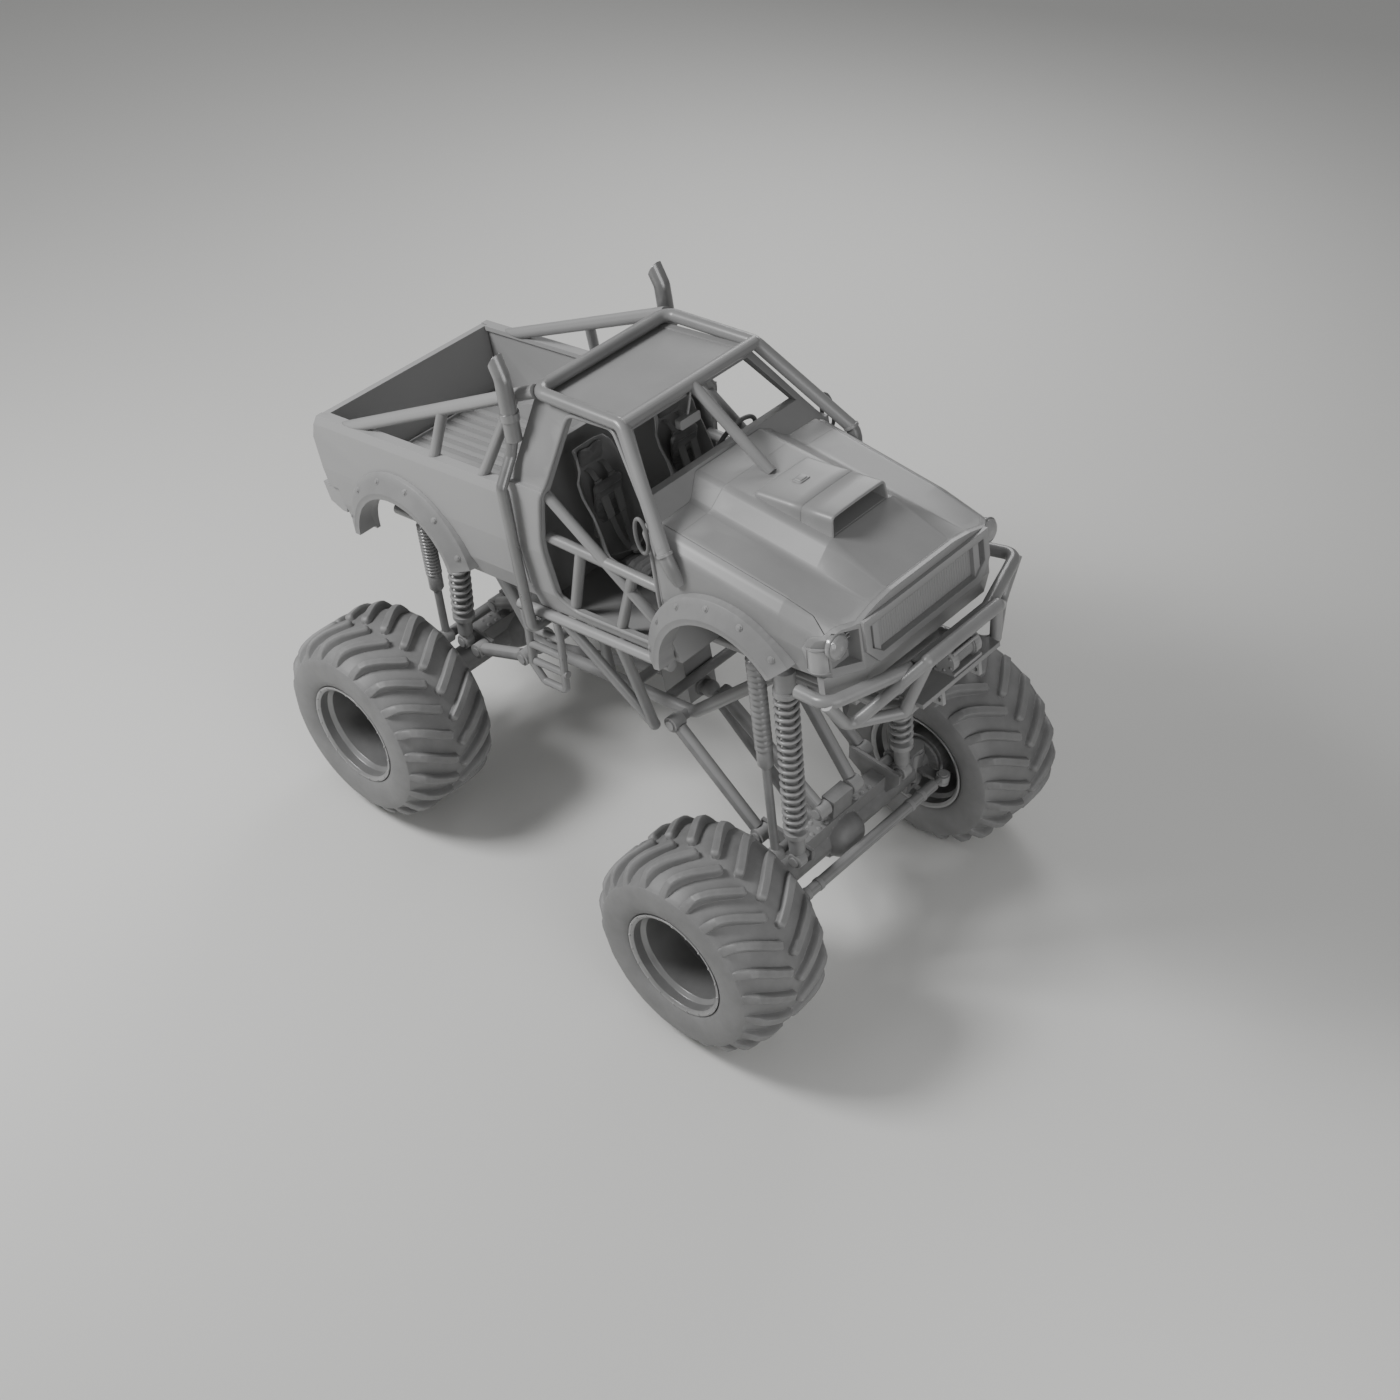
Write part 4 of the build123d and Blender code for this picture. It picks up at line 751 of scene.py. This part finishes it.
for dx in (reach, -reach):
    bar = [atBody(winch["x"] + dx, y, winch["z"] + rise) for y in (first + winch["barIn"], last - winch["barIn"])]
    addTube(bm, bar, winch["barSize"], sides=14)
for y, way in ((first, -1), (last, 1)):
    for k in range(winch["bolts"]):
        turn = 2 * pi * (k + 0.5) / winch["bolts"]
        spot = atBody(winch["x"] + winch["boltRing"] * cos(turn), y, winch["z"] + winch["boltRing"] * sin(turn))
        addBolt(bm, spot, Vector((0, way, 0)), winch["bolt"])
finishPiece(bm, "winch_drum", "running_gear", "chassis")
print("winch")

# axles: a bolted cover on each final drive, bolts along the bridge plates, and clamps on the tie rods
axleTrim = {"flange": 0.214, "flangeAt": 44, "flangeThick": 0.022, "flangeEdge": 0.004, "cover": 0.186,
            "coverRise": 0.168, "coverEnd": 0.32,
            "bolts": 14, "boltRing": 0.2, "bolt": 0.011, "bridgeX": 40, "bridgeY": (-330, -250, -170, 170, 250, 330),
            "bridgeTop": 230, "bridgeBolt": 0.014, "rod": (290, 42), "clampY": (700, 560),
            "clamp": [(0.0, 0.047), (0.002, 0.052), (0.038, 0.052), (0.04, 0.047)]}
for axle in ("front", "rear"):
    bm = bmesh.new()
    facing = Vector((outward[axle], 0, 0))
    middle = atAxle(axle, axleTrim["flangeAt"], 0, 0)
    place = placed(middle, middle + facing)
    flange, thick, edge = axleTrim["flange"], axleTrim["flangeThick"], axleTrim["flangeEdge"]
    cover, least = axleTrim["cover"], axleTrim["coverEnd"]
    outline = [(-edge, flange), (thick - edge, flange), (thick, flange - edge), (thick, cover)]
    for angle in (15, 30, 45, 60, 75, 90):
        turn = radians(angle)
        rise = thick + (axleTrim["coverRise"] - thick) * sin(turn)
        outline.append((rise, cover * (least + (1 - least) * cos(turn))))
    addLathe(bm, outline, place, sides=56)
    for x, y in circle(axleTrim["boltRing"], axleTrim["bolts"]):
        addBolt(bm, place @ Vector((x, y, thick)), facing, axleTrim["bolt"])
    for y in axleTrim["bridgeY"]:
        for side in (1, -1):
            spot = atAxle(axle, side * axleTrim["bridgeX"], y, axleTrim["bridgeTop"])
            addBolt(bm, spot, Vector((0, 0, 1)), axleTrim["bridgeBolt"])
    finishPiece(bm, f"{axle}_axle_trim", "running_gear", "chassis")
    bm = bmesh.new()
    ahead, rise = axleTrim["rod"]
    for way in (1, -1):
        for y in axleTrim["clampY"]:
            start = atAxle(axle, ahead, way * y, rise)
            addLathe(bm, axleTrim["clamp"], placed(start, start - Vector((0, way, 0))), sides=32)
    finishPiece(bm, f"{axle}_tie_rod_clamps", "running_gear", f"{axle}_tie_rod")
print("axle trim")

# cage feet: each windscreen tube turns down into its fender
cageFoot = {"radius": 0.05, "collar": [(-0.012, 0.05), (-0.01, 0.058), (0.01, 0.058), (0.012, 0.05)],
            "line": [(772, 956, 1044), (800, 969, 1009), (818, 972, 972), (830, 968, 930), (836, 956, 880),
                     (838, 938, 830), (838, 912, 780)]}
bm = bmesh.new()
for way in (1, -1):
    line = [atBody(x, way * y, z) for x, y, z in cageFoot["line"]]
    addTube(bm, line, cageFoot["radius"], sides=28)
    addLathe(bm, cageFoot["collar"], placed(line[1], line[2]), sides=32)
finishPiece(bm, "cage_feet", "frame_tube", "chassis")

# roof seam: a narrow rubber bead round the roof's inner panel
roofSeam = {"bead": 0.0056, "corners": [(-585, 560), (160, 560), (160, -560), (-585, -560)], "z": 1673}
bm = bmesh.new()
corners = [atBody(x, y, roofSeam["z"]) for x, y in roofSeam["corners"]]
for a, b in zip(corners, corners[1:] + corners[:1]):
    addTube(bm, [a, b], roofSeam["bead"], sides=8)
finishPiece(bm, "roof_seam", "grip_rubber", "chassis")
print("cage feet and roof seam")

# door frames: a rolled lip laid along each door opening's edge, on the solid's own surface
doorLip = {"radius": 0.017, "away": 15, "pace": 24, "smooth": 3, "outside": 1400, "reach": 0.95,
           # the opening's corners, x and z in the raked body
           "edge": [(-380, 110), (-515, 200), (-540, 660), (-478, 954), (-430, 1130), (-300, 1600), (130, 1600),
                    (560, 1130), (600, 900), (600, 110)]}
shellMesh = frame["nodes"]["cab_shell"].data
shellTree = BVHTree.FromPolygons([v.co for v in shellMesh.vertices], [face.vertices for face in shellMesh.polygons])


def doorLine(way):  # points along the opening, a little outside it, smoothed round the corners
    edge = doorLip["edge"]
    middleX, middleZ = (sum(values) / len(edge) for values in zip(*edge))
    line = []
    for (x0, z0), (x1, z1) in zip(edge, edge[1:] + edge[:1]):
        run = sqrt((x1 - x0) ** 2 + (z1 - z0) ** 2)
        steps = max(2, round(run / doorLip["pace"]))
        awayX, awayZ = (z1 - z0) / run, (x0 - x1) / run
        if awayX * ((x0 + x1) / 2 - middleX) + awayZ * ((z0 + z1) / 2 - middleZ) < 0:
            awayX, awayZ = -awayX, -awayZ
        for k in range(steps):
            x = x0 + (x1 - x0) * (k + 0.5) / steps + awayX * doorLip["away"]
            z = z0 + (z1 - z0) * (k + 0.5) / steps + awayZ * doorLip["away"]
            start = atBody(x, way * doorLip["outside"], z)
            spot = shellTree.ray_cast(start, Vector((0, -way, 0)), doorLip["reach"])[0]
            if spot:
                line.append(spot)
    for _ in range(doorLip["smooth"]):
        line = [(line[i - 1] + line[i] * 2 + line[(i + 1) % len(line)]) / 4 for i in range(len(line))]
    return line


bm = bmesh.new()
for way in (1, -1):
    addTube(bm, doorLine(way), doorLip["radius"], sides=14, closed=True)
finishPiece(bm, "door_lips", "body_shell", "chassis")
print("door frames")

# camera at the photograph's angle
view = {"lens": 52.95, "sensor": 36.0, "target": (0.4227, 0.018, 1.271), "azimuth": 42.439, "rise": 43.571,
        "distance": 16.043, "clip": 200}
az, el = radians(view["azimuth"]), radians(view["rise"])
lookAt = Vector(view["target"])
eyePoint = lookAt + Vector((cos(el) * sin(az), -cos(el) * cos(az), sin(el))) * view["distance"]
cameraData = bpy.data.cameras.new("photo_camera")
cameraData.lens, cameraData.sensor_width, cameraData.sensor_fit = view["lens"], view["sensor"], "HORIZONTAL"
cameraData.clip_end = view["clip"]
camera = bpy.data.objects.new("photo_camera", cameraData)
camera.location = eyePoint
camera.rotation_euler = (lookAt - eyePoint).to_track_quat("-Z", "Y").to_euler()
bpy.context.scene.collection.objects.link(camera)
bpy.context.scene.camera = camera

# plain pale floor and soft studio light
studio = {"floor": 40.0, "floorHex": "#d9d9d7", "floorRough": 0.85, "worldHex": "#f2f2f2", "world": 0.27,
          "aim": (0.2, 0, 1.6)}
bm = bmesh.new()
half = studio["floor"]
bm.faces.new([bm.verts.new(Vector((x * half, y * half, 0))) for x, y in ((-1, -1), (1, -1), (1, 1), (-1, 1))])
floorMesh = bpy.data.meshes.new("studio_floor")
bm.to_mesh(floorMesh)
bm.free()
floorPaint = bpy.data.materials.new("paintedStudioFloor")
floorPaint.use_nodes = True
floorShader = floorPaint.node_tree.nodes["Principled BSDF"]
floorShader.inputs["Base Color"].default_value = hexLinear(studio["floorHex"])
floorShader.inputs["Roughness"].default_value = studio["floorRough"]
floorMesh.materials.append(floorPaint)
floor = bpy.data.objects.new("studio_floor", floorMesh)
bpy.context.scene.collection.objects.link(floor)

world = bpy.data.worlds.new("studio_world")
bpy.context.scene.world = world
world.use_nodes = True
sky = world.node_tree.nodes["Background"]
sky.inputs["Color"].default_value = hexLinear(studio["worldHex"])
sky.inputs["Strength"].default_value = studio["world"]
# place, size and watts of each soft box, all aimed at the truck
softBoxes = {"key": ((-6.0, -7.0, 11.0), 3.4, 1500), "fill": ((9.0, -3.0, 6.0), 6.0, 300),
             "rim": ((-5.0, 9.0, 8.0), 5.0, 480)}
for lightName, (spot, size, watts) in softBoxes.items():
    lamp = bpy.data.lights.new(lightName, "AREA")
    lamp.size, lamp.energy = size, watts
    holder = bpy.data.objects.new(lightName, lamp)
    holder.location = spot
    holder.rotation_euler = (Vector(studio["aim"]) - Vector(spot)).to_track_quat("-Z", "Y").to_euler()
    bpy.context.scene.collection.objects.link(holder)
print("camera, floor and light")
